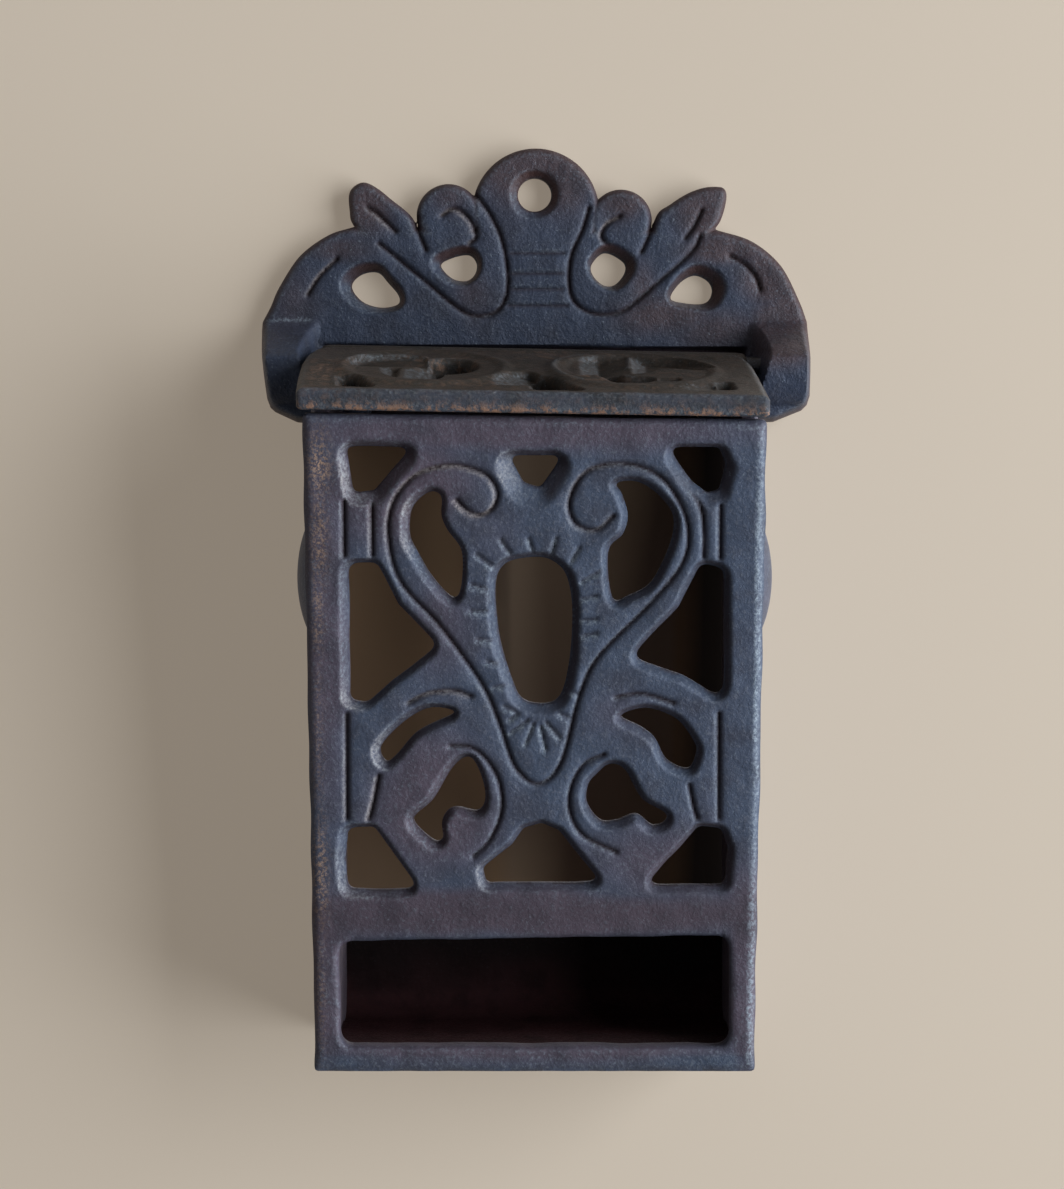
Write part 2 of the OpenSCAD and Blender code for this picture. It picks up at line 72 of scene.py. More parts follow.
def softCorners(points, radius, steps=7):
    # polygon whose corners are parabolas, each leaving its sides where a round of that radius would
    p = np.array(points, float)
    back, ahead = np.roll(p, 1, 0) - p, np.roll(p, -1, 0) - p
    lenBack, lenAhead = np.hypot(*back.T)[:, None], np.hypot(*ahead.T)[:, None]
    back, ahead = back / lenBack, ahead / lenAhead
    half = np.arccos(np.clip((back * ahead).sum(1), -1, 1))[:, None] / 2
    cut = np.minimum(radius / np.tan(half), 0.45 * np.minimum(lenBack, lenAhead))
    t = np.linspace(0, 1, steps)[None, :, None]
    start, end = (p + back * cut)[:, None], (p + ahead * cut)[:, None]
    return (start * (1 - t)**2 + 2 * p[:, None] * t * (1 - t) + end * t**2).reshape(-1, 2)


def ringPath(x, y, r, count=72):
    # points at even turns round a circle
    turn = np.linspace(0, 2 * np.pi, count, endpoint=False)
    return np.column_stack([x + r * np.cos(turn), y + r * np.sin(turn)])


def pathDistance(px, py, path, closed, reach):
    # shortest distance to any side of the path, up to reach, and the unit direction away from it
    starts = path if closed else path[:-1]
    ends = np.roll(path, -1, 0) if closed else path[1:]
    best = np.full(px.shape, float(reach))
    ux, uy = np.zeros((2, *px.shape))
    for k in range(0, len(starts), 10):
        a, b = starts[k:k + 10], ends[k:k + 10]
        low, high = np.minimum(a, b).min(0) - reach, np.maximum(a, b).max(0) + reach
        near = np.flatnonzero((px > low[0]) & (px < high[0]) & (py > low[1]) & (py < high[1]))
        if near.size == 0:
            continue
        ex, ey = (b - a).T
        gx, gy = px[near, None] - a[:, 0], py[near, None] - a[:, 1]
        t = np.clip((gx * ex + gy * ey) / np.maximum(ex**2 + ey**2, 1e-9), 0, 1)
        gx, gy = gx - t * ex, gy - t * ey
        d = np.hypot(gx, gy)
        rows, pick = np.arange(near.size), d.argmin(1)
        d, gx, gy = d[rows, pick], gx[rows, pick], gy[rows, pick]
        closer = d < best[near]
        at, d = near[closer], d[closer]
        best[at] = d
        ux[at], uy[at] = gx[closer] / np.maximum(d, 1e-6), gy[closer] / np.maximum(d, 1e-6)
    return best, ux, uy


def insideLoop(px, py, loop):
    # a point is inside where a line to its right crosses the loop an odd number of times
    inside = np.zeros(px.shape, bool)
    low, high = loop.min(0), loop.max(0)
    near = np.flatnonzero((px > low[0]) & (px < high[0]) & (py > low[1]) & (py < high[1]))
    qx, qy, odd = px[near], py[near], np.zeros(near.size, bool)
    for (ax, ay), (bx, by) in zip(loop, np.roll(loop, -1, 0)):
        if ay != by:
            odd ^= ((ay > qy) != (by > qy)) & (qx < ax + (qy - ay) * (bx - ax) / (by - ay))
    inside[near] = odd
    return inside


def depthInside(px, py, loop, reach=4.0):
    # distance to the loop, plus inside it and minus outside
    d = pathDistance(px, py, loop, True, reach)[0]
    return np.where(insideLoop(px, py, loop), d, -d)


def ease(low, high, value):
    # smooth step from 0 to 1
    t = np.clip((value - low) / (high - low), 0, 1)
    return t * t * (3 - 2 * t)


def peak(value, wide):
    # bell curve, 1 where the value is 0
    return np.exp(-(value / wide)**2)


def castLumps(u, v, size, seed):
    # slow unevenness of a casting: seven sine waves of rising length at fixed odd angles, about -1 to 1
    total = np.zeros(np.shape(u))
    for k in range(7):
        angle, wave = seed + 2.4 * k, 2 * np.pi / (size * (1 + 0.23 * k))
        total += np.sin((u * math.cos(angle) + v * math.sin(angle)) * wave + 1.7 * k * seed)
    return total / 4


# meshes

def plateNet(material, us, vs):
    # one vertex in each grid cell that touches material, moved on to the outline where the outline
    # cuts the cell, one face round each grid point inside, and the net's outer edges in order
    solid, low, high = material > 0, slice(None, -1), slice(1, None)
    corner = [(low, low), (high, low), (high, high), (low, high)]
    used = np.any([solid[c] for c in corner], 0)
    index = np.full(used.shape, -1)
    index[used] = np.arange(used.sum())
    gridU, gridV = np.meshgrid(us, vs, indexing="ij")
    cellU, cellV = np.meshgrid((us[low] + us[high]) / 2, (vs[low] + vs[high]) / 2, indexing="ij")
    sumU, sumV, hits = np.zeros((3, *used.shape))
    for k in range(4):
        a, b = corner[k], corner[(k + 1) % 4]
        cross = solid[a] != solid[b]
        t = material[a] / np.where(cross, material[a] - material[b], 1)
        sumU += np.where(cross, gridU[a] + t * (gridU[b] - gridU[a]), 0)
        sumV += np.where(cross, gridV[a] + t * (gridV[b] - gridV[a]), 0)
        hits += cross
    cut = hits > 0
    cellU[cut], cellV[cut] = sumU[cut] / hits[cut], sumV[cut] / hits[cut]
    i, j = np.nonzero(solid)
    faces = np.column_stack([index[i - 1, j - 1], index[i, j - 1], index[i, j], index[i - 1, j]])
    edges = []
    for first, second, backI, backJ, order in ((solid[:, :-1], solid[:, 1:], 1, 0, 1),
                                               (solid[:-1], solid[1:], 0, 1, -1)):
        for leaves, turn in ((first & ~second, order), (~first & second, -order)):
            i, j = np.nonzero(leaves)
            edges.append(np.column_stack([index[i, j], index[i - backI, j - backJ]])[:, ::turn])
    return cellU[used], cellV[used], faces, np.vstack(edges)


def gridLine(start, spans):
    # positions from start on, evenly spaced in each span, which has its own end and step
    parts = [np.array([float(start)])]
    for end, step in spans:
        count = max(1, int(round((end - parts[-1][-1]) / step)))
        parts.append(np.linspace(parts[-1][-1], end, count + 1)[1:])
    return np.concatenate(parts)


def castPlate(us, vs, materialAt, heightsAt, rows=3, fadePower=2.5):
    # flat casting: net over the outline, front and back sheets at their own heights, walls between, on which
    # the front's marks fade into the back's
    gridU, gridV = np.meshgrid(us, vs, indexing="ij")
    material = materialAt(gridU.ravel(), gridV.ravel()).reshape(gridU.shape)
    u, v, faces, edges = plateNet(material, us, vs)
    front, back, marks, lowMarks = heightsAt(u, v)
    count = len(u)
    rim = np.unique(edges)
    place = np.full(count, -1)
    place[rim] = np.arange(len(rim))
    between = 2 * count + np.arange((rows - 1) * len(rim)).reshape(rows - 1, -1)
    levels = [rim, *between, rim + count]
    share = (np.arange(1, rows) / rows)[:, None]
    wallH = (front[rim] * (1 - share) + back[rim] * share).ravel()
    p, q = place[edges[:, 0]], place[edges[:, 1]]
    walls = [np.column_stack([top[p], low[p], low[q], top[q]]) for top, low in zip(levels, levels[1:])]
    allU, allV = (np.concatenate([k, k] + [k[rim]] * (rows - 1)) for k in (u, v))
    allH = np.concatenate([front, back, wallH])
    allFaces = np.vstack([faces, faces[:, ::-1] + count] + walls)
    spread, fade = {}, share**fadePower
    for key in marks:
        high, low = (np.broadcast_to(sheet.get(key, 0.0), count) for sheet in (marks, lowMarks))
        spread[key] = np.concatenate([high, low, (high[rim] * (1 - fade) + low[rim] * fade).ravel()])
    return allU, allV, allH, allFaces, spread


def gridFaces(m, n, last):
    # four-sided faces of a net of m rows of n points, up to the last column, which may close the row
    i, j = (k.ravel() for k in np.meshgrid(np.arange(m - 1), np.arange(last), indexing="ij"))
    k = (j + 1) % n
    return np.column_stack([i * n + j, i * n + k, (i + 1) * n + k, (i + 1) * n + j])


def sweptBar(profile, stations, middle=(0, 0), swell=None):
    # closed profile carried straight along a line, swelled about its middle by a factor at each station
    n, m = len(profile), len(stations)
    factor = np.repeat(np.ones(m) if swell is None else swell, n)
    a = middle[0] + np.tile(profile[:, 0] - middle[0], m) * factor
    b = middle[1] + np.tile(profile[:, 1] - middle[1], m) * factor
    s = np.repeat(stations, n)
    caps = [list(range(n))[::-1], list(range((m - 1) * n, m * n))]
    return s, a, b, gridFaces(m, n, n).tolist() + caps


def blockBar(a, b, s, edgeRound):
    # straight bar between two corners of its section, edges rounded, along s
    corners = [(a[0], b[0]), (a[1], b[0]), (a[1], b[1]), (a[0], b[1])]
    small = 1 - edgeRound / abs(a[1] - a[0])
    stations = np.array([s[0], s[0] + edgeRound, s[1] - edgeRound, s[1]])
    middle = ((a[0] + a[1]) / 2, (b[0] + b[1]) / 2)
    return sweptBar(softCorners(corners, edgeRound), stations, middle, np.array([small, 1, 1, small]))


def roundRod(r, start, end, ends, swell, inset, count):
    # straight rod that swells from both ends by the given factors at the given distances in
    middle = np.linspace(start + inset, end - inset, count)
    stations = np.concatenate([start + ends, middle, (end - ends)[::-1]])
    factors = np.concatenate([swell, np.ones(count), swell[::-1]])
    return sweptBar(ringPath(0, 0, r, 28), stations, (0, 0), factors)


def joinShells(shells):
    # one set of points, faces and marks from several closed shells
    xyz = [np.concatenate([s[0][k] for s in shells]) for k in range(3)]
    start = np.cumsum([0] + [len(s[0][0]) for s in shells])
    faces = [[int(k + n) for k in f] for s, n in zip(shells, start) for f in s[1]]
    marks = {}
    for key in dict.fromkeys(k for s in shells for k in s[2]):
        marks[key] = np.concatenate([np.broadcast_to(s[2].get(key, 0.0), len(s[0][0])) for s in shells])
    return xyz, faces, marks


def addObject(name, data):
    # object at the origin, put into the scene
    made = bpy.data.objects.new(name, data)
    bpy.context.scene.collection.objects.link(made)
    return made


def makePiece(name, xyz, faces, marks, finish, body, nodeName, slotName, sharp=62):
    # xyz in mm in the holder's own frame, heights above the foot
    points = np.column_stack([xyz[0] * mm, xyz[1] * mm, xyz[2] * mm + footZ])
    mesh = bpy.data.meshes.new(name)
    mesh.from_pydata(points.tolist(), [], faces.tolist() if hasattr(faces, "tolist") else faces)
    for key, values in marks.items():
        layer = mesh.attributes.new(key, "FLOAT", "POINT")
        layer.data.foreach_set("value", np.clip(values, 0, 1).astype(np.float32))
    mesh.shade_smooth()
    mesh.set_sharp_from_angle(angle=math.radians(sharp))
    mesh.materials.append(finish)
    piece = addObject(name, mesh)
    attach(piece, body)
    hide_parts(nodeName)
    print(name, len(points), "points", len(faces), "faces")


# finishes

def addNode(tree, kind, inputs, **settings):
    # node with its settings made and each input linked or set
    made = tree.nodes.new("ShaderNode" + kind)
    for key, value in settings.items():
        setattr(made, key, value)
    for key, value in inputs.items():
        if isinstance(value, bpy.types.NodeSocket):
            tree.links.new(value, made.inputs[key])
        else:
            made.inputs[key].default_value = value
    return made


def newFinish(name):
    # material with its node tree and main shader
    finish = bpy.data.materials.new(name)
    finish.use_nodes = True
    return finish, finish.node_tree, finish.node_tree.nodes["Principled BSDF"]


def mathNode(tree, operation, a, b):
    return addNode(tree, "Math", {0: a, 1: b}, operation=operation).outputs[0]


def mixNode(tree, amount, a, b):
    # from colour a to colour b, each a node's or a plain one
    a, b = ((*k, 1) if isinstance(k, tuple) else k for k in (a, b))
    return addNode(tree, "Mix", {0: amount, 6: a, 7: b}, data_type="RGBA").outputs[2]


def markNode(tree, key):
    return addNode(tree, "Attribute", {}, attribute_name=key).outputs["Fac"]


def castIron(name, look):
    # dark sand-cast iron: slow colour drift, fine grain with pale specks, worn edges and painted highlights,
    # dark grooves and painted shade, rust
    finish, tree, shader = newFinish(name)
    place = addNode(tree, "TexCoord", {}).outputs["Object"]

    def noise(scale, detail, rough=0.55):
        inputs = {"Vector": place, "Scale": scale, "Detail": detail, "Roughness": rough}
        return addNode(tree, "TexNoise", inputs).outputs["Fac"]

    def band(value, low, high):
        inputs = {"Value": value, "From Min": low, "From Max": high, "To Min": 0.0, "To Max": 1.0}
        return addNode(tree, "MapRange", inputs, interpolation_type="SMOOTHSTEP").outputs["Result"]

    def times(a, b):
        return mathNode(tree, "MULTIPLY", a, b)

    def mark(key):
        return markNode(tree, key)

    broad, patch = noise(look["driftScale"], 2.0), noise(look["patchScale"], 4.0, 0.6)
    grain, speck = noise(look["grainScale"], 4.0, 0.68), noise(look["speckScale"], 2.0, 0.5)
    pit, rust = noise(look["pitScale"], 3.0, 0.6), noise(look["rustScale"], 7.0, 0.78)
    lean = mathNode(tree, "ADD", mark("warmth"), broad)
    tint = mixNode(tree, band(lean, 0.62, 1.22), look["cool"], look["warm"])
    layers = [  # from the lowest up
        ("deep", times(band(patch, 0.42, 0.72), 0.55)),
        ("pale", times(band(grain, 0.5, 0.7), look["grainTint"])),
        # dark grooves, and painted shade where the cut mark carries it
        ("groove", times(mark("cut"), 0.75)),
        # wear, and painted highlights where the wear-and-highlight mark carries them
        ("worn", times(mark("wear"), band(grain, 0.35, 0.75))),
        ("line", times(mark("line"), band(grain, 0.3, 0.6))),
        ("worn", times(band(speck, 0.66, 0.72), look["specks"])),
        ("rust", times(mark("rust"), band(rust, *look["rustBand"]))),
    ]
    for colour, amount in layers:
        tint = mixNode(tree, amount, tint, look[colour])
    tree.links.new(tint, shader.inputs["Base Color"])
    inputs = {"Value": grain, "From Min": 0.3, "From Max": 0.75,
              "To Min": look["roughLow"], "To Max": look["roughHigh"]}
    rough = addNode(tree, "MapRange", inputs).outputs["Result"]
    matt = mathNode(tree, "ADD", rough, times(mark("cut"), 0.45))  # grooves shine less
    tree.links.new(matt, shader.inputs["Roughness"])
    under = {}
    for height, key, reach in ((patch, "lump", 0.0006), (pit, "pit", 0.0004), (grain, "sand", 0.0003)):
        bump = addNode(tree, "Bump", dict(under, Height=height, Strength=look[key], Distance=reach))
        under = {"Normal": bump.outputs["Normal"]}
    tree.links.new(under["Normal"], shader.inputs["Normal"])
    shader.inputs["Metallic"].default_value = look["metal"]
    shader.inputs["Specular IOR Level"].default_value = look["gloss"]
    return finish


# the groove colour also serves as painted shade, and the pale bluish worn colour as painted highlight
ironLook = {
    "cool": (0.053, 0.068, 0.104), "warm": (0.076, 0.060, 0.080), "deep": (0.036, 0.035, 0.047),
    "pale": (0.125, 0.135, 0.165), "groove": (0.030, 0.015, 0.014), "worn": (0.27, 0.315, 0.36),
    "rust": (0.36, 0.235, 0.16), "line": (0.33, 0.27, 0.24), "driftScale": 38.0, "patchScale": 170.0,
    "grainScale": 1600.0, "speckScale": 1900.0, "pitScale": 620.0, "rustScale": 1700.0,
    "rustBand": (0.46, 0.6), "grainTint": 0.5, "specks": 0.16, "roughLow": 0.38, "roughHigh": 0.62,
    "lump": 0.35, "pit": 0.4, "sand": 0.5, "metal": 0.1, "gloss": 0.2,
}
# the crest's dark rust colour is rust on its edges and painted shade on bevels away from the lamp
crestLook = dict(ironLook, cool=(0.034, 0.043, 0.069), warm=(0.056, 0.040, 0.046),
                 deep=(0.022, 0.022, 0.030), pale=(0.082, 0.090, 0.116), rust=(0.056, 0.028, 0.025),
                 rustScale=420.0, rustBand=(0.2, 0.45), pit=0.6, sand=0.7, specks=0.22)
lidLook = dict(ironLook, cool=(0.050, 0.053, 0.067), warm=(0.041, 0.033, 0.028),
               deep=(0.022, 0.021, 0.018), pale=(0.085, 0.080, 0.076), rust=(0.29, 0.165, 0.108),
               rustScale=620.0, rustBand=(0.47, 0.59), groove=(0.007, 0.006, 0.005), gloss=0.12)
# the tray's iron is made nearly black as painted shade, for the inside of the box where it sits
trayShadedLook = dict(ironLook, cool=(0.010, 0.007, 0.007), warm=(0.036, 0.015, 0.016),
                deep=(0.007, 0.004, 0.004), pale=(0.022, 0.013, 0.013), specks=0.02, metal=0.0,
                gloss=0.03)
# the pins are darker than the body iron, painted shade for the gap beside the lid where they show
pinLook = dict(ironLook, cool=(0.040, 0.038, 0.040), warm=(0.042, 0.034, 0.031), metal=0.5,
               roughLow=0.35, roughHigh=0.5, lump=0.1, sand=0.15)
rivetLook = dict(ironLook, lump=0.4)

bodyIron = castIron("bodyIron", ironLook)
crestIron = castIron("crestIron", crestLook)
lidIron = castIron("lidIron", lidLook)
trayIron = castIron("trayIron", trayShadedLook)
pinSteel = castIron("pinSteel", pinLook)
rivetIron = castIron("rivetIron", rivetLook)
print("finishes ready")


# relief shared by the castings

def rimDrop(px, py, rims, warp):
    # depth lost beside each rim: deep at the rim, easing out over the rim's width, which leans to one side;
    # slopes that face right, toward the lamp, are painted pale as wear and painted highlight, with a thin
    # line at the top, and those that face left or down get painted shade
    drop, wear, dark = np.zeros((3, *px.shape))
    for rim in rims:
        d, ux, uy = pathDistance(px + warp[0], py + warp[1], rim["path"], True, 6.0)
        width = np.maximum(rim["wide"] + rim["lean"][0] * ux + rim["lean"][1] * uy, 0.4)
        drop = np.maximum(drop, rim["deep"] * np.clip(1 - d / width, 0, 1)**rim["power"])
        face, lit = ease(width, 0.6 * width, d), 0.5 - 0.5 * ux
        top = peak(d - 0.9 * width, 0.25)
        wear = np.max([wear, (0.3 + 0.7 * lit) * top, 0.55 * lit * face], 0)
        dark = np.maximum(dark, face * np.clip(np.maximum(ux, uy), 0, 1))
    return drop, wear, dark


def nearest(px, py, lines, reach):
    # shortest distance to any of the lines, up to reach
    return np.min([pathDistance(px, py, line, False, reach)[0] for line in lines], 0)


def lineCut(px, py, lines, cut, worn=0.3):
    # grooves: a narrow round-bottomed line in the middle of a wide shallow trough, and a thin worn line along
    # the shoulder below and to the left of it, on the side toward the lamp, which is painted pale partly as
    # wear and partly as a painted highlight
    near = nearest(px, py, lines, 6.0)
    sharp = peak(near, cut["narrow"])
    shoulder = peak(nearest(px + cut["shift"][0], py + cut["shift"][1], lines, 2.0), worn)
    return cut["deep"] * sharp + cut["trough"] * peak(near, cut["wide"]), sharp, shoulder


def rimOf(path, wide, deep, lean=(0, 0), power=1.5):
    # one rim for rimDrop; the power bends its slope
    return {"path": path, "wide": wide, "deep": deep, "lean": lean, "power": power}


def bevel(depth, wide, deep):
    # rounding beside an edge: deep at the edge, easing to nothing over its width
    return deep * np.clip(1 - depth / wide, 0, 1)**2


def wander(u, v, spec, calm=1):
    # slow waves, sideways and up, by which a hand-made edge strays: amount, wave length and two seeds
    amount, size, *seeds = spec
    return [amount * castLumps(u, v, size, seed) * calm for seed in seeds]


def pierced(solid, u, v, holes):
    # material less its holes: the depth from the nearest edge counts
    for hole in holes:
        solid = np.minimum(solid, -depthInside(u, v, hole))
    return solid


def spotsAt(u, v, spots):
    # soft round patches, each with its middle, half sizes and amount; the strongest counts at each point
    return np.max([amount * np.exp(-((u - cu) / ru)**2 - ((v - cv) / rv)**2)
                   for cu, cv, ru, rv, amount in spots], 0)


# front panel

panel = {
    "foot": 36.5, "lean": math.radians(5), "thick": 4.0, "height": 116.0, "halfLow": 38.7, "halfTop": 39.7,
    "topRight": 114.8, "fine": 0.37, "plain": 0.62, "lump": 0.09, "wander": (0.13, 8, 0.7, 2.9),
    "edgeWave": 0.16,
    "soft": [  # holes with straight sides: corner radius and corners
        (1.2, [(-32.5, 110), (-21, 110), (-27.5, 102.5), (-31, 102)]),
        (1.2, [(-4.5, 108.5), (5, 108.5), (1, 103), (-2, 104)]),
        (1.2, [(23, 110), (31.5, 110), (32.7, 107), (31.7, 102.5), (29.5, 102), (27, 104)]),
        (2.0, [(-32, 90), (-27, 90), (-23.5, 83), (-16.5, 75.5), (-24.5, 69.5), (-29, 65.5), (-32, 66)]),
        (2.0, [(28.5, 90), (32.7, 89), (32.7, 66), (25.3, 70.5), (16.3, 73.5), (24.7, 82.5)]),
        (1.5, [(-32.5, 43.7), (-28, 43.7), (-25.2, 39.8), (-20, 32.5), (-32.5, 32.5), (-33, 38)]),
        (1.2, [(1.2, 44.5), (-2, 43.5), (-4, 40.5), (-9, 36.5), (-8.5, 33.6), (11.5, 33.8), (7, 39.5),
               (4.2, 43.2)]),
        (1.5, [(28.5, 43.7), (32.5, 43.5), (33.8, 40), (33.2, 33.3), (19.5, 33.3), (23, 37.6)]),
    ],
    "loops": [
        [(-18, 102.3), (-16, 101.5), (-16, 98), (-15, 95.5), (-12.5, 92), (-12.7, 86), (-14, 84),
         (-17.3, 87.3), (-20, 91.6), (-21.5, 95), (-21, 99.5)],
        [(14, 103.7), (17.5, 104), (21.3, 101.8), (23.8, 98), (23.2, 92.8), (20.2, 87), (16.3, 84.3),
         (13.5, 83.8), (12.7, 92), (15.2, 95), (16, 98.3), (15, 101.8)],
        [(0.3, 91), (-4.9, 90), (-6.7, 86), (-6, 77.5), (-3.8, 69.5), (-1.5, 66), (3.5, 66), (5.7, 71.3),
         (6.5, 81), (5.6, 87.5), (3.5, 90.2)],
        [(-26.6, 58), (-25.8, 55.2), (-24, 56.4), (-20.4, 60.4), (-14.3, 63.5), (-15.1, 64.6), (-18.5, 64.7),
         (-23, 62)],
        [(15, 63.2), (17.5, 64.6), (20.8, 64.6), (24.8, 62.6), (27.6, 58.7), (27.9, 56.5), (26.5, 54),
         (23, 55.4), (20.8, 59.3), (18.6, 61.1)],
        [(-12.3, 56), (-10.6, 55.6), (-9, 52), (-8.6, 48.6), (-10, 46.6), (-14, 47.2), (-16, 45), (-16, 41.7),
         (-17.6, 41.3), (-21, 45), (-17.4, 48.6), (-14.6, 53.7)],
        [(10.7, 53), (13, 54.8), (15.8, 53.7), (18.6, 48.8), (22.6, 46.2), (22.6, 44.6), (20.4, 44),
         (17.5, 46), (14.2, 44.8), (11.4, 44.8), (9.1, 48), (9.3, 51.2)],
    ],
    "slot": (2.8, [(-34.15, 23.7), (34.15, 24.7), (34.15, 4.6), (-34.15, 4.6)]),
    "curves": [
        [(-13.3, 101), (-11.6, 99.3), (-9.4, 98.5), (-7.2, 99.6), (-6.4, 102.4), (-8.5, 105.5), (-14, 107),
         (-20, 105.5), (-24, 101), (-25, 95), (-23, 87), (-16, 79), (-9, 69), (-6, 62), (-3.3, 54.5),
         (0.7, 51.6), (4.6, 55.5), (7.7, 67), (11, 74), (19.7, 83), (25.5, 90.5), (26, 97.5), (22, 104.5),
         (15.7, 107.2), (9, 106), (6, 101), (7, 97), (10.5, 95.9), (13.5, 98.3)],
        [(-14.6, 58.3), (-11, 58), (-8, 55.5), (-6, 51.5), (-5.8, 46.5), (-7.8, 41.7), (-10.6, 38.8)],
        [(12, 56.8), (8.5, 55), (6.3, 51), (6.2, 46.5), (8.5, 42.4), (14.2, 39.5)],
        [(-21.8, 65.8), (-18.5, 67.5), (-14, 68), (-11, 67)],
        [(14, 66.8), (18.5, 67.4), (24, 65.8)],
        [(25.7, 104), (28.3, 100), (29, 95.5), (29, 91)],
        [(-27, 53), (-28, 48), (-28.7, 45.5)],
        [(31.8, 64), (31.9, 54), (32, 45.5)],
        [(26.8, 51.4), (27.6, 47.5), (28.2, 45.5)],
        [(-32.6, 100.8), (-32.6, 91.5)], [(-32.4, 63.8), (-32.5, 45.5)], [(-27.8, 100.3), (-27.8, 91.5)],
        [(31.8, 100), (31.8, 91)],
    ],
    "ticks": [  # both ends of each
        (-10, 91.7, -6.2, 88.8), (-5.8, 94.2, -3.7, 91), (-1, 94.3, -0.2, 91.5), (3.7, 94.5, 2.7, 91.2),
        (7.6, 92.8, 6.2, 90.4), (11.2, 88.8, 8, 87), (10.6, 84.5, 8, 84), (10.6, 80.5, 8, 80.3),
        (10.6, 78, 8.2, 77.6), (-11, 86.5, -8, 85.6), (-11, 82, -8.2, 81.9), (-9.8, 77, -7.3, 76.8),
        (-8.3, 73.2, -6.6, 72.7), (-7.2, 68.6, -5.2, 69), (-5.3, 65.3, -3.3, 64.4),
        (-4.4, 62.9, -2.9, 64), (-4.2, 60.7, -1.2, 62.8), (-1.6, 58.7, -0.2, 62.2), (1.9, 57.7, 1, 61.8),
        (4.3, 59.8, 2, 62.4), (6, 63.2, 4.3, 64), (7.4, 67.4, 6.2, 67.8),
    ],
    "groove": {"deep": 0.8, "narrow": 0.38, "trough": 0.18, "wide": 1.4, "shift": (0.55, 0.3)},
    "tick": {"deep": 0.55, "narrow": 0.34, "trough": 0.06, "wide": 0.9, "shift": (0.2, 0.5)},
    "lugAt": (54, 96), "lugHigh": 8.4, "lugDeep": 8.4, "lugX": (32, 35), "lugIn": 0.5, "lugRound": 0.6,
    "holeRim": (1.2, 1.9), "leftLean": 0.35, "rimPower": 1.08, "slotRim": (0.6, 0.6), "edgeRim": (1.4, 1.1),
    "backRim": (0.8, 0.8), "strip": (3.4, 0.9, 1.2), "rail": (28.5, 4.5, 0.4),
    "wideRims": {0: (1.8, 2.0, (0.3, -0.6)), 1: (2.5, 2.2, (-0.3, -1.2)), 2: (1.7, 2.0, (0.2, -0.9)),
                 10: (1.55, 2.0, (0.05, -0.3))},  # hole: width, depth and lean of its bevel
    "warmSpots": [
        (-18, 49, 11, 12, 0.95), (-12, 29, 28, 4, 0.95), (8, 28, 36, 4, 0.75), (22, 37, 12, 7, 0.5),
        (-4, 113, 44, 4, 0.68), (0, 4.5, 44, 4.5, 0.8), (-36, 14, 4, 18, 0.7), (37, 14, 4, 20, 0.8),
        (-36, 74, 5, 40, 0.45), (-22, 103, 15, 10, 0.62), (-9, 97, 10, 8, 0.4), (-17, 82, 8, 10, 0.4),
        (14, 63, 10, 6, 0.25),
    ],
    "rustSpots": [
        (-36.8, 107, 1.7, 5, 1.0), (-36.9, 95, 1.3, 7, 0.8), (-37.3, 82, 1.0, 8, 0.55),
        (-37.4, 60, 0.9, 14, 0.35), (-37.2, 36, 1.2, 8, 0.85), (-37.4, 15, 0.9, 12, 0.35),
    ],
    "lineWear": [
        (-15, 101, 12, 9, 0.65), (-30, 50, 4, 12, 0.5), (-28, 95, 6, 6, 0.3), (9, 102, 6, 7, 0.3),
        (-16, 67, 6, 2, 0.4),
    ],
    "wearSpots": [
        (-32.5, 105, 2.5, 5, 0.9), (-30, 101.5, 3, 2, 0.8), (-31.5, 66, 3, 3, 0.9),
        (-27.3, 57.5, 2.5, 4, 0.8), (-31.5, 34, 4, 5, 0.6), (-27.8, 50, 1.5, 4, 0.5), (-6, 106, 3, 4, 0.6),
        (-10, 35, 2.5, 3, 0.5), (-22.5, 100, 1.5, 2, 0.9), (-22.5, 92.5, 1.5, 3, 0.8),
    ],
}


def onPanel(x, v, h):
    # v runs up the leaning face and h out of it
    s, c = math.sin(panel["lean"]), math.cos(panel["lean"])
    return x, -panel["foot"] - v * s - h * c, v * c - h * s


panelEdge = np.array([(-panel["halfLow"], 0), (panel["halfLow"], 0), (panel["halfTop"], panel["topRight"]),
                      (-panel["halfTop"], panel["height"])], float)
panelHoles = [softCorners(p, r) for r, p in panel["soft"]] + [smoothPath(p) for p in panel["loops"]]
panelSlot = softCorners(panel["slot"][1], panel["slot"][0])
panelLines = [smoothPath(p, False) for p in panel["curves"]]
panelTicks = [np.reshape(p, (2, 2)) for p in panel["ticks"]]


def panelWarp(x, v):
    # hand-made edges wander a little; none at the outside so that the panel keeps its size
    calm = ease(0, 3, np.minimum(panel["halfLow"] - np.abs(x), np.minimum(v, panel["height"] - v)))
    return wander(x, v, panel["wander"], calm)


def panelMaterial(x, v):
    # depth inside the outline, which waves a little inward, or outside the nearest hole
    wx, wy = panelWarp(x, v)
    wave = panel["edgeWave"] * (1 + castLumps(0.2 * x, v, 7, 0.5)) * ease(1, 5, v)
    return pierced(depthInside(x, v, panelEdge) - wave, x + wx, v + wy, panelHoles + [panelSlot])


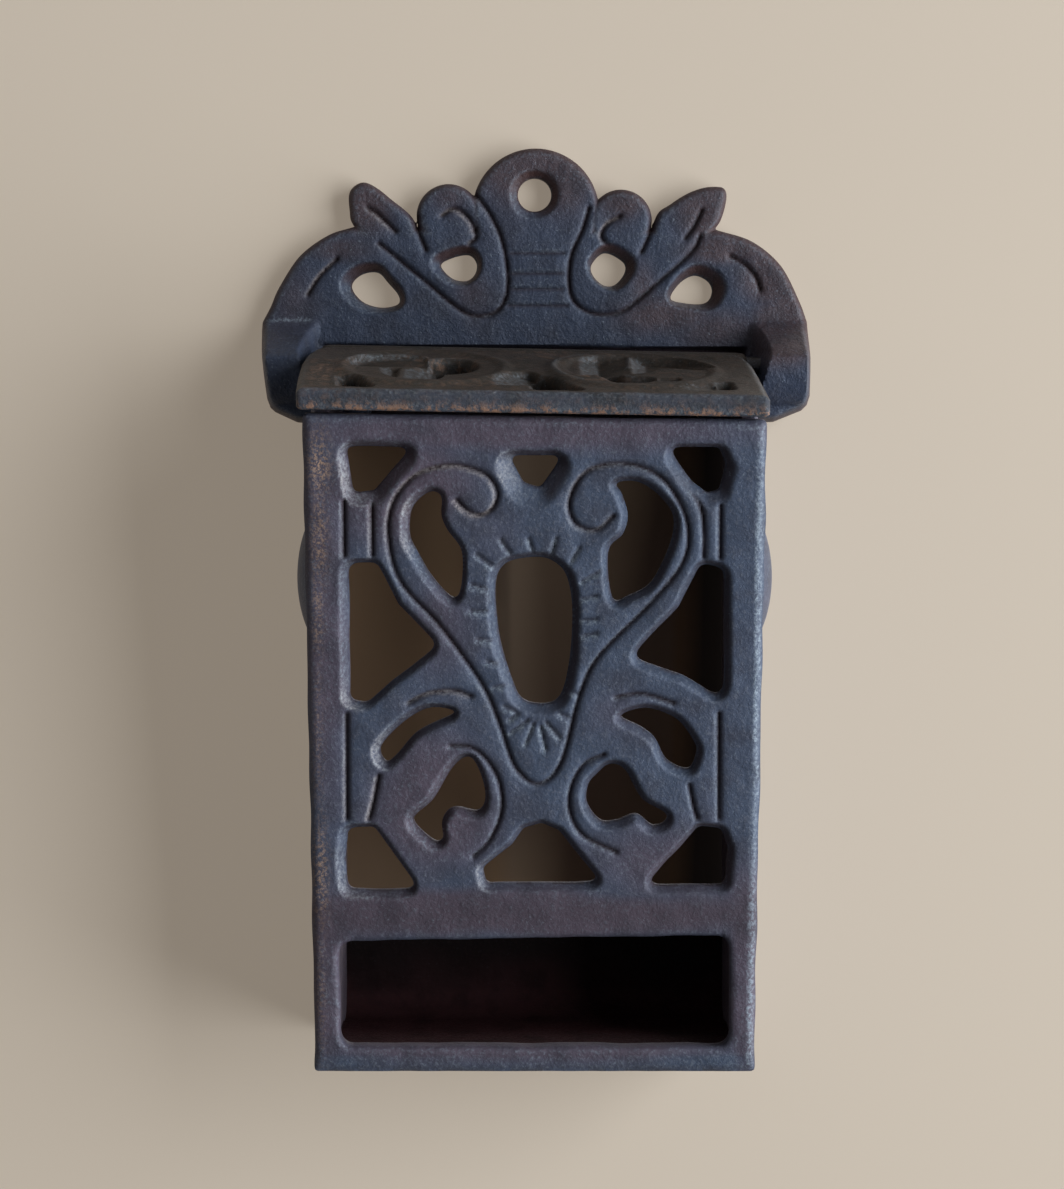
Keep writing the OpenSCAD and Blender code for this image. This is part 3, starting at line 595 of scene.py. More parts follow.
def panelHeights(x, v):
    # casting lumps less the deepest of the bevels at holes, slot, edge and foot, and less the cut lines away
    # from the holes' bevels; the same forms give the marks, among them painted highlights on bevels and edges
    # toward the lamp and painted shade on those away from it
    warp = panelWarp(x, v)
    wide, deep = panel["holeRim"]
    rims = [rimOf(p, wide, deep, (-panel["leftLean"] * ease(6, -22, p[:, 0].mean()), 0), panel["rimPower"])
            for p in panelHoles]
    for k, (wide, deep, lean) in panel["wideRims"].items():
        rims[k].update(wide=wide, deep=deep, lean=lean)
    drop, wear, dark = rimDrop(x, v, rims, warp)
    slot, slotWearAndHighlight = rimDrop(x, v, [rimOf(panelSlot, *panel["slotRim"])], warp)[:2]
    edge, edgePale, edgeShade = rimDrop(x, v, [rimOf(panelEdge, *panel["edgeRim"], power=2)], (0, 0))
    groove, cut, shoulder = lineCut(x, v, panelLines, panel["groove"])
    tick, tickCut, tickShoulder = lineCut(x, v, panelTicks, panel["tick"], 0.4)
    stripHigh, stripDeep, stripPower = panel["strip"]
    strip = stripDeep * np.clip(1 - v / stripHigh, 0, 1)**stripPower
    clear = 1 - ease(0, 1.0, drop)
    lump = panel["lump"] * (castLumps(x, v, 5, 1.1) - 1.5)
    front = lump - np.max([drop, slot, edge, strip], 0) - (groove + tick) * clear
    depth = panelMaterial(x, v)
    back = bevel(depth, *panel["backRim"]) - panel["thick"]
    onFace = ease(0, 0.4, depth)  # the walls of the holes get no wear and no painted highlight
    spots = spotsAt(x, v, panel["wearSpots"])
    line = np.maximum(spotsAt(x, v, panel["lineWear"]) * shoulder * clear, 0.6 * wear * spots * onFace)
    # wear, with a painted highlight on bevels toward the lamp and more on the right edge, which faces it;
    # more on the holes to the left
    wear = np.max([wear * (0.2 + 0.25 * ease(8, -26, x) + spots), (0.3 + ease(30, 38, x)) * edgePale,
                   0.2 * slotWearAndHighlight, 0.12 * ease(stripHigh + 0.4, stripHigh - 0.6, v),
                   0.75 * tickShoulder * clear, 0.4 * shoulder * clear], 0) * onFace
    railAt, railHigh, railDark = panel["rail"]  # the plain rail over the slot is darker
    rail = railDark * peak(v - railAt, railHigh)
    # grooves, and painted shade on the bevels and on the left and lower edges away from the lamp
    marks = {"cut": np.max([cut * clear, 0.5 * tickCut * clear, rail, 0.8 * dark, 0.3 * edgeShade], 0),
             "wear": wear, "line": line, "rust": spotsAt(x, v, panel["rustSpots"]),
             "warmth": 0.12 + spotsAt(x, v, panel["warmSpots"]) - 0.15 * ease(3.6, 2.6, v)}
    return front, back, marks, {"rust": 0.15, "warmth": 0.9}


def panelLugs():
    # four blocks on the back of the panel that the rivets pass through
    shells = []
    half, back = panel["lugHigh"] / 2, -panel["thick"]
    deep = (back - panel["lugDeep"], back + panel["lugIn"])
    for v in panel["lugAt"]:
        for s in (-1, 1):
            across = sorted(s * end for end in panel["lugX"])
            x, a, b, faces = blockBar((v - half, v + half), deep, across, panel["lugRound"])
            shells.append((onPanel(x, a, b), faces, {}))
    return shells


fine, plain = panel["fine"], panel["plain"]  # steps of the net, fine where the ornament is
x, v, h, faces, marks = castPlate(gridLine(-41, [(-34.6, plain), (34.6, fine), (41, plain)]),
                                  gridLine(-1.3, [(28, plain), (110.6, fine), (117.5, plain)]),
                                  panelMaterial, panelHeights)
shells = [(onPanel(x, v, h), faces, marks)] + panelLugs()
makePiece("frontPanel", *joinShells(shells), bodyIron, "holder", "front_panel", "body_iron")


# back plate with its crest and ears

crest = {
    "half": 50.2, "thick": 4.5, "low": 114.0, "step": 0.34, "lump": 0.09, "wander": (0.12, 7, 0.4, 2.2),
    "left": [(-50.1, 132.6), (-48.6, 135.4), (-47, 139), (-43.2, 144.7), (-38, 148.5), (-33.5, 150)],
    "right": [(33.5, 149.5), (40, 147.4), (45.3, 143), (48.7, 136.6), (50.2, 132.6)],
    "earLeft": [(-43.3, 114.1), (-47.4, 116), (-48.3, 116.8), (-48.8, 118.4), (-49.3, 123), (-49.8, 128),
                (-50.1, 131)],
    "earRight": [(50.2, 119), (49.8, 117.3), (48.8, 116.3), (43.6, 114.2)],
    "leaves": [
        [(-33.4, 150.5), (-34, 153), (-34.1, 156), (-33, 157.6), (-31.2, 158.2), (-29, 157.2), (-26.6, 155.3),
         (-22.3, 151.5), (-22, 147.5), (-30, 147)],
        [(33.4, 150), (34.6, 152.2), (35.3, 155.3), (35, 156.9), (33.8, 157.4), (31, 157.2), (28, 156.1),
         (25, 154.2), (22.5, 152.2), (22, 147.5), (30, 147)],
    ],
    "lobes": [(-15.8, 152, 5.9), (15.9, 151.2, 5.7), (0.2, 152.7, 11.7)],
    "hang": (0, 156.0, 3.1), "hangRim": (1.6, 1.5),
    "eyes": [  # width and lean of the bevel, then the hole
        (1.7, (-0.5, 0.3), [(-33.8, 139.3), (-32, 141.4), (-29, 141.8), (-27, 140), (-25, 137.7),
                            (-25.2, 136), (-28.6, 135.4), (-32, 136.6)]),
        (1.8, (0.9, 0.4), [(25.3, 137.7), (27.3, 140.2), (29.6, 141.2), (32, 140.2), (32.8, 138.5),
                           (32, 136.6), (30, 136), (25.7, 136.5)]),
        (1.5, (-0.4, 0.4), [(-17.3, 143.5), (-14.8, 144.7), (-12, 145), (-10.7, 143.5), (-11, 141.6),
                            (-12.4, 140.4), (-14.8, 140.6), (-16.7, 142)]),
        (1.5, (0.6, 0.4), [(10.5, 143), (12, 145), (13.8, 145.2), (16.5, 143.5), (16.5, 141.6),
                           (14.6, 139.5), (12.7, 139.5), (10.9, 141.2)]),
    ],
    "curves": [
        [(-10.8, 156), (-8, 152), (-6, 147.5), (-5, 142), (-5.2, 137.5), (-7, 134.6), (-10, 133.7),
         (-13.5, 134.7), (-20.5, 140.4), (-28.6, 147)],
        [(10, 153.5), (8.8, 149.6), (6.8, 145), (6.3, 140.5), (7, 136.8), (9.5, 134.6), (13, 134),
         (16.5, 134.8), (22, 139.3), (28.8, 145.4), (30.5, 148.4)],
        [(-30.7, 153.6), (-28.6, 152.2), (-25.5, 149.2)], [(30.7, 153), (29.2, 150), (27.7, 148)],
        [(-21.5, 151.8), (-21.5, 149.6), (-20, 145.8)], [(22.3, 152.4), (21, 148.4), (19.6, 145.4)],
        [(-17, 152.2), (-14.7, 153.4), (-12, 151.5), (-10.7, 148.4), (-12, 147)],
        [(15.7, 152), (13.4, 150.7), (12.3, 148.4), (13.4, 146.6)],
        [(-36.3, 144.2), (-39.4, 141.2), (-41.7, 137.7)],
        [(36, 144.7), (38.8, 143), (40.7, 140.8), (41.5, 138.5)],
    ],
    "collar": [(-4.5, 5.5, 145.2), (-4.2, 5.2, 141.5), (-4.2, 5.2, 138.6), (-4.8, 6, 135.6)],
    "groove": dict(panel["groove"], shift=(0.5, 0.3)), "thin": dict(panel["tick"], deep=0.4, shift=(0, -0.5)),
    "eyeDeep": 2.8, "eyePower": 1.2, "edgeRim": (1.2, 1.0), "backRim": (0.7, 0.5),
    "earR": 8.2, "earFootDeep": 13.0, "earSlope": 7.0,
    "earStart": ([119.8, 120.6, 127, 132.8], [38.6, 40.2, 40.2, 39.3]),
    "earWidth": ([121, 124, 127, 130, 132.8], [0.8, 1.6, 2.5, 2.2, 1.4]),
    "ledge": (128.35, 0.008, 2.2), "dish": 0.2,
    "warmSpots": [
        (0, 161, 14, 6, 0.8), (46, 130, 8, 7, 1.0), (36, 131, 10, 5, 0.6), (33, 153, 7, 6, 0.8),
        (-31, 154, 6, 6, 0.7), (-44, 138, 7, 8, 0.45), (44, 141, 7, 7, 0.7), (-16, 156, 5, 4, 0.5),
        (16, 155, 5, 4, 0.6), (26, 134, 12, 4, 0.5), (36, 146, 8, 3, 0.7), (47, 134, 3, 8, 0.9),
        (-37, 146, 8, 3, 0.5), (6, 158, 5, 6, 0.5), (20, 139, 3, 6, 0.4), (-12, 138, 4, 5, 0.3),
    ],
    "lineWear": [(-14, 151, 4, 4, 0.5), (14, 150, 3, 3, 0.5), (-39, 141, 4, 4, 0.5), (-28, 151, 4, 4, 0.3)],
}
rivetLow, rivetHigh = (np.array(corner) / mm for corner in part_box("back_rivets"))
rivetR = (rivetHigh[2] - rivetLow[2]) / 2
rivetX, rivetH = rivetHigh[0] - rivetR, rivetLow[2] + rivetR - footZ / mm
crestBody = np.vstack([smoothPath(crest["left"], False), smoothPath(crest["right"], False), crest["earRight"],
                       crest["earLeft"]])
crestShapes = [crestBody] + [smoothPath(p) for p in crest["leaves"]] + [ringPath(*c) for c in crest["lobes"]]
hangHole = ringPath(*crest["hang"])
crestEyes = [smoothPath(p) for wide, lean, p in crest["eyes"]]
crestLines = [smoothPath(p, False) for p in crest["curves"]]
collarLines = [np.array([(left, z), (right, z)]) for left, right, z in crest["collar"]]


def onWall(x, z, h):
    # h stands out from the wall
    return x, -h, z


def crestWarp(x, z):
    # as on the panel, but calm at the ends and at the foot
    calm = ease(0, 3, np.minimum(crest["half"] - np.abs(x), z - crest["low"]))
    return wander(x, z, crest["wander"], calm)


def crestOutside(x, z):
    # depth inside the body, leaves and lobes taken together
    return np.max([depthInside(x, z, p) for p in crestShapes], 0)


def crestMaterial(x, z):
    # depth inside the outline or outside the nearest hole
    wx, wz = crestWarp(x, z)
    return pierced(pierced(crestOutside(x, z), x, z, [hangHole]), x + wx, z + wz, crestEyes)


def earRise(x, z, depth):
    # slopes out from the crest to the front of the ear, then is round about the pivot with a straight foot;
    # the inner face leans and the outer edge is rounded
    side, up = np.abs(x), z - hingeH
    slope = np.clip((crest["earR"] - up) / crest["earSlope"], 0, 1)
    slope = (slope + ease(0, 1, slope)) / 2
    reach = -hingeY + np.sqrt(np.clip(crest["earR"]**2 - np.minimum(up, 0)**2, 0, None))
    reach = np.maximum(reach, crest["earFootDeep"])
    inner = np.clip((side - np.interp(z, *crest["earStart"])) / np.interp(z, *crest["earWidth"]), 0, 1)
    outer = 0.55 + 0.45 * np.clip(depth / 1.2, 0, 1)**0.6
    return (reach - crest["thick"]) * slope * inner * outer


def crestHeights(x, z):
    # plate, ears and casting lumps, less the ledge behind the lid, the deepest of the bevels, and the cut
    # lines away from the eyes' bevels; the same forms give the marks, among them painted highlights on bevels
    # toward the lamp, painted shade in the ledge behind the lid, and painted shade in the rust colour on
    # bevels away from the lamp
    rims = [rimOf(p, wide, crest["eyeDeep"], lean, crest["eyePower"])
            for p, (wide, lean, points) in zip(crestEyes, crest["eyes"])]
    drop, wear, dark = rimDrop(x, z, rims, crestWarp(x, z))
    hang, hangWearAndHighlight, hangShade = rimDrop(x, z, [rimOf(hangHole, *crest["hangRim"], power=1.1)], (0, 0))
    depth = crestOutside(x, z)
    edge = bevel(depth, *crest["edgeRim"])
    groove, cut, shoulder = lineCut(x, z, crestLines, crest["groove"])
    thin, thinCut, thinShoulder = lineCut(x, z, collarLines, crest["thin"])
    clear = 1 - ease(0, 1.0, drop)
    ledgeH, ledgeLean, ledgeDeep = crest["ledge"]
    ledge = ease(0, 0.5, ledgeH - ledgeLean * x - z) * ease(39.4, 38.6, np.abs(x))
    front = crest["thick"] + earRise(x, z, depth) + crest["lump"] * (castLumps(x, z, 5, 0.3) - 1.5)
    front = front - ledgeDeep * ledge - (np.max([drop, edge, hang], 0) + (groove + thin) * clear)
    back = bevel(crestMaterial(x, z), *crest["backRim"])
    back += crest["dish"] * ease(3.4, 2.4, np.hypot(np.abs(x) - rivetX, z - rivetH))
    edgePale = peak(depth - 0.8, 0.6)
    earLine = peak(z - hingeH - crest["earR"] - 0.1, 0.35) * ease(-40.5, -42, x)
    wear = np.max([0.4 * wear, 0.4 * hangWearAndHighlight, 0.25 * edgePale, 0.7 * earLine, 0.25 * thinShoulder * clear,
                   0.25 * shoulder * clear], 0)
    # rust on the outer edges, and painted shade in the rust colour on the bevel sides away from the lamp
    rustAndShade = np.max([dark, hangShade, 0.8 * peak(depth, 0.7)], 0)
    # the ledge behind the lid is painted with shade through the cut mark
    marks = {"cut": np.max([cut * clear, 0.6 * thinCut * clear, ledge], 0), "wear": wear * (1 - 0.6 * rustAndShade),
             "line": spotsAt(x, z, crest["lineWear"]) * shoulder * clear, "rust": 0.9 * rustAndShade,
             "warmth": 0.1 + spotsAt(x, z, crest["warmSpots"])}
    return front, back, marks, {"rust": 0.35, "warmth": 0.5}


x, z, h, faces, marks = castPlate(gridLine(-51.2, [(51.2, crest["step"])]),
                                  gridLine(113, [(165.4, crest["step"])]), crestMaterial, crestHeights)
makePiece("backPlate", onWall(x, z, h), faces, marks, crestIron, "holder", "back_plate", "body_iron")


# side walls

lidSeat = {"slope": math.radians(11.4), "backEdge": 3.0, "half": 39.5, "long": 39.2,
           "corners": (0.9, -0.7, 0.0, -1.3)}


def lidSag(x, w):
    # the lid is fitted by hand: its corners stand a little above or below the level, blended in between
    backLeft, backRight, frontLeft, frontRight = lidSeat["corners"]
    s, t = x / (2 * lidSeat["half"]) + 0.5, (w - lidSeat["backEdge"]) / lidSeat["long"]
    return (1 - t) * ((1 - s) * backLeft + s * backRight) + t * ((1 - s) * frontLeft + s * frontRight)


side = {
    "inner": 35.0, "outer": 38.5, "step": 0.45, "lump": 0.08,
    "boss": (-20.03, 86.5, 12.8, 4.0), "band": 0.8,
    "scroll": (3.0, [(-30, 66), (-22, 68.5), (-12, 64), (-12, 55), (-20, 50), (-26, 44), (-24, 35), (-14, 31),
                     (-7, 35)]),
    "wave": (2.4, [(-8, 104), (-14, 108.5), (-22, 104.5), (-30, 108.5), (-36, 104)]),
    "slot": ((-22, -10), (1, 4)), "ribGap": 3.9, "plateDeep": 4.5, "lidGap": 1.326,
    "lug": ((-10, -4.5), (114, 120.75), (30, 35.3)), "edgeRim": (1.2, 0.7), "backRim": (0.8, 0.5),
}
frontFoot = -panel["foot"] + panel["thick"] / math.cos(panel["lean"])  # inside of the panel at the foot
frontTop = frontFoot - panel["height"] * math.tan(panel["lean"])


def sideOutline(s):
    # foot, back edge, the plate's foot, and a top edge that keeps an even gap below the lid
    y = np.linspace(-side["plateDeep"], frontTop, 12)
    w = lidSeat["backEdge"] - (y - hingeY) / math.cos(lidSeat["slope"])
    top = hingeH + (y - hingeY) * math.tan(lidSeat["slope"]) - side["lidGap"] + lidSag(s * side["outer"], w)
    low, plateFoot = 0, crest["low"]
    return np.vstack([[(0, low), (0, plateFoot), (-side["plateDeep"], plateFoot)], np.column_stack([y, top]),
                      [(frontFoot, low)]])


sideOutlines = {s: sideOutline(s) for s in (-1, 1)}
ribNotch = np.vstack([[(0, hingeH + 9), (hingeY, hingeH + 9)],
                      [(hingeY + side["ribGap"] * math.cos(t), hingeH + side["ribGap"] * math.sin(t))
                       for t in np.radians(np.arange(90, 271, 12))], [(0, hingeH - side["ribGap"])]])
(slotBack, slotFront), (slotLow, slotTop) = side["slot"]
tenonSlot = np.array([(slotBack, slotLow), (slotFront, slotLow), (slotFront, slotTop), (slotBack, slotTop)])
sideBands = [(wide, smoothPath(p, False)) for wide, p in (side["scroll"], side["wave"])]


def sideMaterial(y, z, s):
    # depth inside the outline or outside the rib's notch and the tray's slot
    return pierced(depthInside(y, z, sideOutlines[s]), y, z, (ribNotch, tenonSlot))


def sideHeights(y, z, s):
    # domed boss and round-backed scroll bands on a flat wall
    by, bz, r, high = side["boss"]
    dome = high * np.clip(1 - ((y - by)**2 + (z - bz)**2) / r**2, 0, 1)**0.75
    band = np.zeros(y.shape)
    for wide, path in sideBands:
        d = nearest(y, z, [path], 4.0)
        band = np.maximum(band, side["band"] * np.clip(1 - (2 * d / wide)**2, 0, 1)**0.6)
    depth = sideMaterial(y, z, s)
    lump = side["lump"] * (castLumps(y, z, 6, 0.9) - 1.5) * (dome + band < 0.05)
    front = side["outer"] - side["inner"] + np.maximum(dome, band) + lump - bevel(depth, *side["edgeRim"])
    skirt = peak(np.hypot(y - by, z - bz) - r - 0.4, 0.7)
    marks = {"cut": 0.6 * skirt, "wear": 0.14 * np.clip(dome / high + band / side["band"], 0, 1),
             "rust": 0.3 * skirt + 0.15 * (depth < 2), "warmth": 0.4}
    return front, bevel(depth, *side["backRim"]), marks, {"rust": 0.15, "warmth": 0.9}


def makeSide(name, nodeName, s):
    # wall with its ornament, mirrored on the left, and the lug that the back rivet passes through
    us, vs = np.sort(s * gridLine(-45, [(1.4, side["step"])])), gridLine(-1.2, [(128, side["step"])])
    u, v, h, faces, marks = castPlate(us, vs, lambda u, v: sideMaterial(s * u, v, s),
                                      lambda u, v: sideHeights(s * u, v, s))
    wall = ((s * (side["inner"] + h), s * u, v), faces, marks)
    a, b, c = side["lug"]
    x, y, z, lugFaces = blockBar(a, b, sorted(s * end for end in c), panel["lugRound"])
    shells = [wall, ((x, y, z), lugFaces, {})]
    makePiece(name, *joinShells(shells), bodyIron, "holder", nodeName, "body_iron", sharp=42)


makeSide("rightSide", "right_side", 1)
makeSide("leftSide", "left_side", -1)


# tray at the foot

tray = {"half": 35.0, "tenon": 38.3, "low": 1.0, "thick": 3.0, "bend": 8.0, "lip": 20.0, "lipRound": 1.2,
        "gap": 0.1, "tenonIn": 0.2, "tenonRound": 0.25}


def trayProfile():
    # floor, a quarter round up the back and a straight lip with two round corners, all one thickness
    r, t, low = tray["bend"], tray["thick"], tray["low"]
    turn = np.radians(np.linspace(-90, 0, 14))
    outer = np.column_stack([-r + r * np.cos(turn), low + r + r * np.sin(turn)])
    inner = np.column_stack([-r + (r - t) * np.cos(turn), low + r + (r - t) * np.sin(turn)])[::-1]
    lip = softCorners([(0, tray["lip"]), (-t, tray["lip"]), (-t, low + r)], tray["lipRound"])[:14]
    start = frontFoot - tray["gap"]  # the front edge leans a little, as the panel does
    return np.vstack([[(start, low)], outer, lip, inner, [(start - 0.2, low + t)]])


x, y, z, faces = sweptBar(trayProfile(), np.linspace(-tray["half"], tray["half"], 60))
shells = [((x, y, z), faces, {"warmth": 0.8 * ease(14, 5, z)})]
for s in (-1, 1):
    ends = sorted((s * (tray["half"] - tray["tenonIn"]), s * tray["tenon"]))
    x, y, z, faces = blockBar(*side["slot"], ends, tray["tenonRound"])
    shells.append(((x, y, z), faces, {"warmth": 1.0, "wear": 0.07}))
makePiece("matchTray", *joinShells(shells), trayIron, "holder", "match_tray", "tray_iron")


# lid

lid = {
    "top": 2.85, "bottom": -0.95, "step": 0.33, "lump": 0.06, "wander": (0.1, 7, 1.9, 0.5), "edgeRound": 0.9,
    "edge": [(-40.5, 42.2), (40.0, 42.2), (39.7, 32), (39.4, 22), (39.0, 12), (38.3, 7), (37.1, 4), (34.5, 3),
             (-35.5, 3), (-38.2, 3.6), (-39.9, 6), (-40.9, 10.5), (-41.2, 18), (-41.0, 30)],
    "holes": [
        smoothPath([(-18, 15.5), (-15, 13.6), (-12, 15.5), (-10.4, 20), (-12, 25), (-16.5, 27), (-17.5, 21)]),
        smoothPath([(11.5, 24.3), (13.6, 24), (15.5, 26.5), (19.5, 27.5), (20.6, 29.2), (18, 31.2),
                    (14.5, 31.5), (13, 28)]),
        softCorners([(-0.5, 28), (1.5, 28), (8.5, 39), (0, 39)], 1.0),
        softCorners([(-33.5, 31), (-31, 32), (-27.5, 38.5), (-33, 39)], 1.0),
        softCorners([(31.9, 31.2), (33.7, 30.7), (34.1, 36.2), (31.6, 36.6)], 0.8),
    ],
    "hollows": [  # outline, and depths at places from left to right
        ([(-33, 18), (-30.5, 14.2), (-24, 11.8), (-20, 13), (-18.6, 17), (-19, 21), (-23.5, 21.5),
          (-27.5, 22), (-31.5, 21.5)], [(-33, 1.0), (-19, 0.5)]),
        ([(-28, 23), (-22, 22), (-17.4, 19.5), (-15.5, 24), (-16, 30), (-18, 32), (-24, 31)],
         [(-28, 0), (-27, 0), (-24.3, 0.9), (-23.6, 0), (-17.8, 1.5)]),
        ([(-8.5, 33), (-5.8, 27), (-1.5, 23.5), (1, 27), (0.5, 35), (-6.5, 36)],
         [(-8.5, 0), (-7.5, 0), (-0.8, 1.5)]),
        ([(5.2, 20), (7, 13), (10.5, 9.6), (16, 9), (21, 10.2), (26, 11.5), (31, 15.5), (32, 19.5),
          (28, 19.8), (22.5, 18.6), (20.5, 22), (16, 25), (11.5, 25), (7.5, 26)],
         [(5, 0.3), (8, 0.2), (11.6, 1.4), (17, 0.1), (19.6, 1.3), (25, 1.3), (32, 0.6)]),
        ([(21.3, 28), (25.2, 27), (25.2, 30), (22, 30.6)], [(0, 1.2)]),
        ([(24.8, 36.2), (27, 33.8), (31.2, 32), (31.2, 37), (28, 38)], [(24.8, 0), (31, 0.8)]),
    ],
    "rings": [(-19.5, 22, 14.3), (17.5, 22, 14.3)], "ringHigh": 0.55, "ringWide": 1.3,
    "holeRim": (0.9, 1.2), "hollowWide": 0.7, "edgeRim": (1.3, 0.8), "backRim": (0.8, 0.5), "lineHigh": 0.3,
    "lines": [  # half width and points
        (0.9, [(-33.2, 19), (-30.3, 14.3), (-24, 11.8), (-20, 13.4)]), (0.6, [(-34.6, 31.5), (-34, 37)]),
        (0.55, [(9.5, 8), (6.2, 10.6), (4.1, 14.5), (3.2, 20.8), (5, 27.6), (8.2, 31)]),
        (0.5, [(17, 10), (16.6, 18.6)]),
    ],
    # spots of painted shade round the holes and in the hollows
    "paintedShadeSpots": [
        (15.5, 28.5, 3, 2.5, 1.0), (14.5, 17, 2.5, 6, 0.8), (26, 15, 5, 3.5, 0.8),
        (31.7, 8.5, 1.6, 2.2, 0.8), (23.5, 29, 2, 1.8, 0.9), (2, 31, 4, 5, 0.9), (-12, 21, 3, 6, 0.7),
        (-3, 19, 3, 6, 0.35), (0, 5, 36, 2, 0.3), (24, 20, 15, 18, 0.7),
    ],
    "rustSpots": [
        (-36.5, 28, 3.5, 11, 0.9), (-15.5, 16, 4, 3, 0.9), (-21, 13.5, 2.5, 1.5, 0.6), (2, 8, 8, 4, 0.4),
        (11, 28, 4, 3, 0.6), (26, 23, 6, 4, 0.2), (-10, 36, 20, 3, 0.35), (20, 37, 16, 3, 0.15),
    ],
    "rib": 2.83575, "ribEnds": (-38.8, 38.6), "ribIn": (0, 0.4, 1.0, 2.0), "ribSwell": (0.78, 0.92, 0.98, 1),
}
lidEdge = softCorners(lid["edge"], lid["edgeRound"])
lidHollows = [(smoothPath(p), np.array(fall, float).T) for p, fall in lid["hollows"]]
lidLines = [(wide, smoothPath(p, False)) for wide, p in lid["lines"]]


def onLid(x, w, h):
    # w runs forward from behind the pivot and h up from it, on the sloping lid
    s, c = math.sin(lidSeat["slope"]), math.cos(lidSeat["slope"])
    back, h = lidSeat["backEdge"] - w, h + lidSag(x, w)
    return x, hingeY + back * c - h * s, hingeH + back * s + h * c


def lidMaterial(x, back):
    # depth inside the outline or outside the nearest hole; back is w the other way, so that the face is up
    w = lidSeat["backEdge"] - back
    wx, wy = wander(x, w, lid["wander"])
    return pierced(depthInside(x, w, lidEdge), x + wx, w + wy, lid["holes"])


def lidHeights(x, back):
    # raised rings round hollows, each of which falls or rises from left to right; a slope that falls to the
    # right, toward the lamp, gets a painted highlight; the hollows, the bevels away from the lamp and the
    # listed spots get painted shade; the holes are cut through
    w = lidSeat["backEdge"] - back
    rims = [rimOf(p, *lid["holeRim"]) for p in lid["holes"]]
    drop, wear, shade = rimDrop(x, w, rims, wander(x, w, lid["wander"]))
    sunk, glint = np.zeros((2, *x.shape))
    for path, (fallX, fall) in lidHollows:
        part = ease(0, lid["hollowWide"], depthInside(x, w, path))
        sunk = np.maximum(sunk, part * np.interp(x, fallX, fall))
        slope = np.interp(x + 0.9, fallX, fall) - np.interp(x - 0.9, fallX, fall)
        glint = np.maximum(glint, part * ease(0.1, 0.45, slope))
    ring = np.max([peak(np.hypot(x - cx, w - cw) - r, lid["ringWide"]) for cx, cw, r in lid["rings"]], 0)
    line = np.max([peak(nearest(x, w, [path], 6.0), wide) for wide, path in lidLines], 0)
    depth = depthInside(x, w, lidEdge)
    edge = bevel(depth, *lid["edgeRim"])
    lump = lid["lump"] * (castLumps(x, w, 5, 0.6) - 1.5)
    front = lid["top"] + lid["ringHigh"] * ring * ease(0.5, 2, depth) + lump
    front += lid["lineHigh"] * line * ease(0.6, 0, drop) - np.max([drop, sunk, edge], 0)
    low = lid["bottom"] + bevel(lidMaterial(x, back), *lid["backRim"])
    lip = ease(40, 41.6, w)
    # raised lines worn pale, and a painted highlight on the slopes toward the lamp
    ridgeWearAndGlint = np.maximum(0.8 * line, glint)
    # painted shade in the hollows, on the bevels away from the lamp and at the listed spots, kept off the
    # pale lines and highlights
    dark = np.max([0.6 * sunk, 0.6 * shade, spotsAt(x, w, lid["paintedShadeSpots"])], 0) * (1 - ridgeWearAndGlint)
    marks = {"cut": dark, "rust": 0.06 + 0.5 * spotsAt(x, w, lid["rustSpots"]), "warmth": 0.9 - 0.9 * lip,
             "wear": np.max([0.25 * wear, 0.3 * peak(depth - 0.7, 0.5), 0.4 * ridgeWearAndGlint], 0)}
    return front, low, marks, {"rust": np.maximum(lip, 0.05), "wear": 0.3 * lip, "warmth": 0.9 - 0.9 * lip}


x, back, h, faces, marks = castPlate(gridLine(-42.2, [(41, lid["step"])]),
                                     gridLine(-40.2, [(1, lid["step"])]), lidMaterial, lidHeights, rows=5)
shells = [(onLid(x, lidSeat["backEdge"] - back, h), faces, marks)]
x, a, b, faces = roundRod(lid["rib"], *lid["ribEnds"], np.array(lid["ribIn"]), lid["ribSwell"], inset=3,
                          count=40)
shells.append((onLid(x, lidSeat["backEdge"] - a, b), faces, {"warmth": 0.9}))
makePiece("piercedLid", *joinShells(shells), lidIron, "lid", "lid", "lid_iron")


# hinge pins, straight rods with rounded ends

pin = {"r": 1.48, "from": 30.6, "to": 48.4, "round": 0.5, "swell": (0.7, 0.9, 1)}
for name, s in (("left", -1), ("right", 1)):
    start, end = sorted((s * pin["from"], s * pin["to"]))
    ends = np.array([0, pin["round"] / 3, pin["round"]])
    x, a, b, faces = roundRod(pin["r"], start, end, ends, pin["swell"], inset=2, count=8)
    makePiece(name + "HingePin", (x, hingeY + a, hingeH + b), faces, {}, pinSteel, "lid", name + "_hinge_pin",
              "pin_steel")

for name in ("front_rivets", "back_rivets"):
    kept = frame["nodes"][name].data
    kept.materials.clear()
    kept.materials.append(rivetIron)
print("pieces ready")


# camera, light and backdrop

photo = {"size": (1064, 1189), "focal": 2946.0, "place": (-0.46, -548.2, 110.9), "pitch": 3.0, "sensor": 36.0}
eye = bpy.data.cameras.new("eye")
eye.sensor_fit = "HORIZONTAL"
eye.sensor_width = photo["sensor"]
eye.lens = photo["focal"] * photo["sensor"] / photo["size"][0]
eye.clip_start = 0.01
eyeObject = addObject("eye", eye)
eyeObject.location = (photo["place"][0] * mm, photo["place"][1] * mm, photo["place"][2] * mm + footZ)
eyeObject.rotation_euler = (math.radians(90 - photo["pitch"]), 0, 0)
bpy.context.scene.camera = eyeObject
bpy.context.scene.view_settings.view_transform = "Standard"

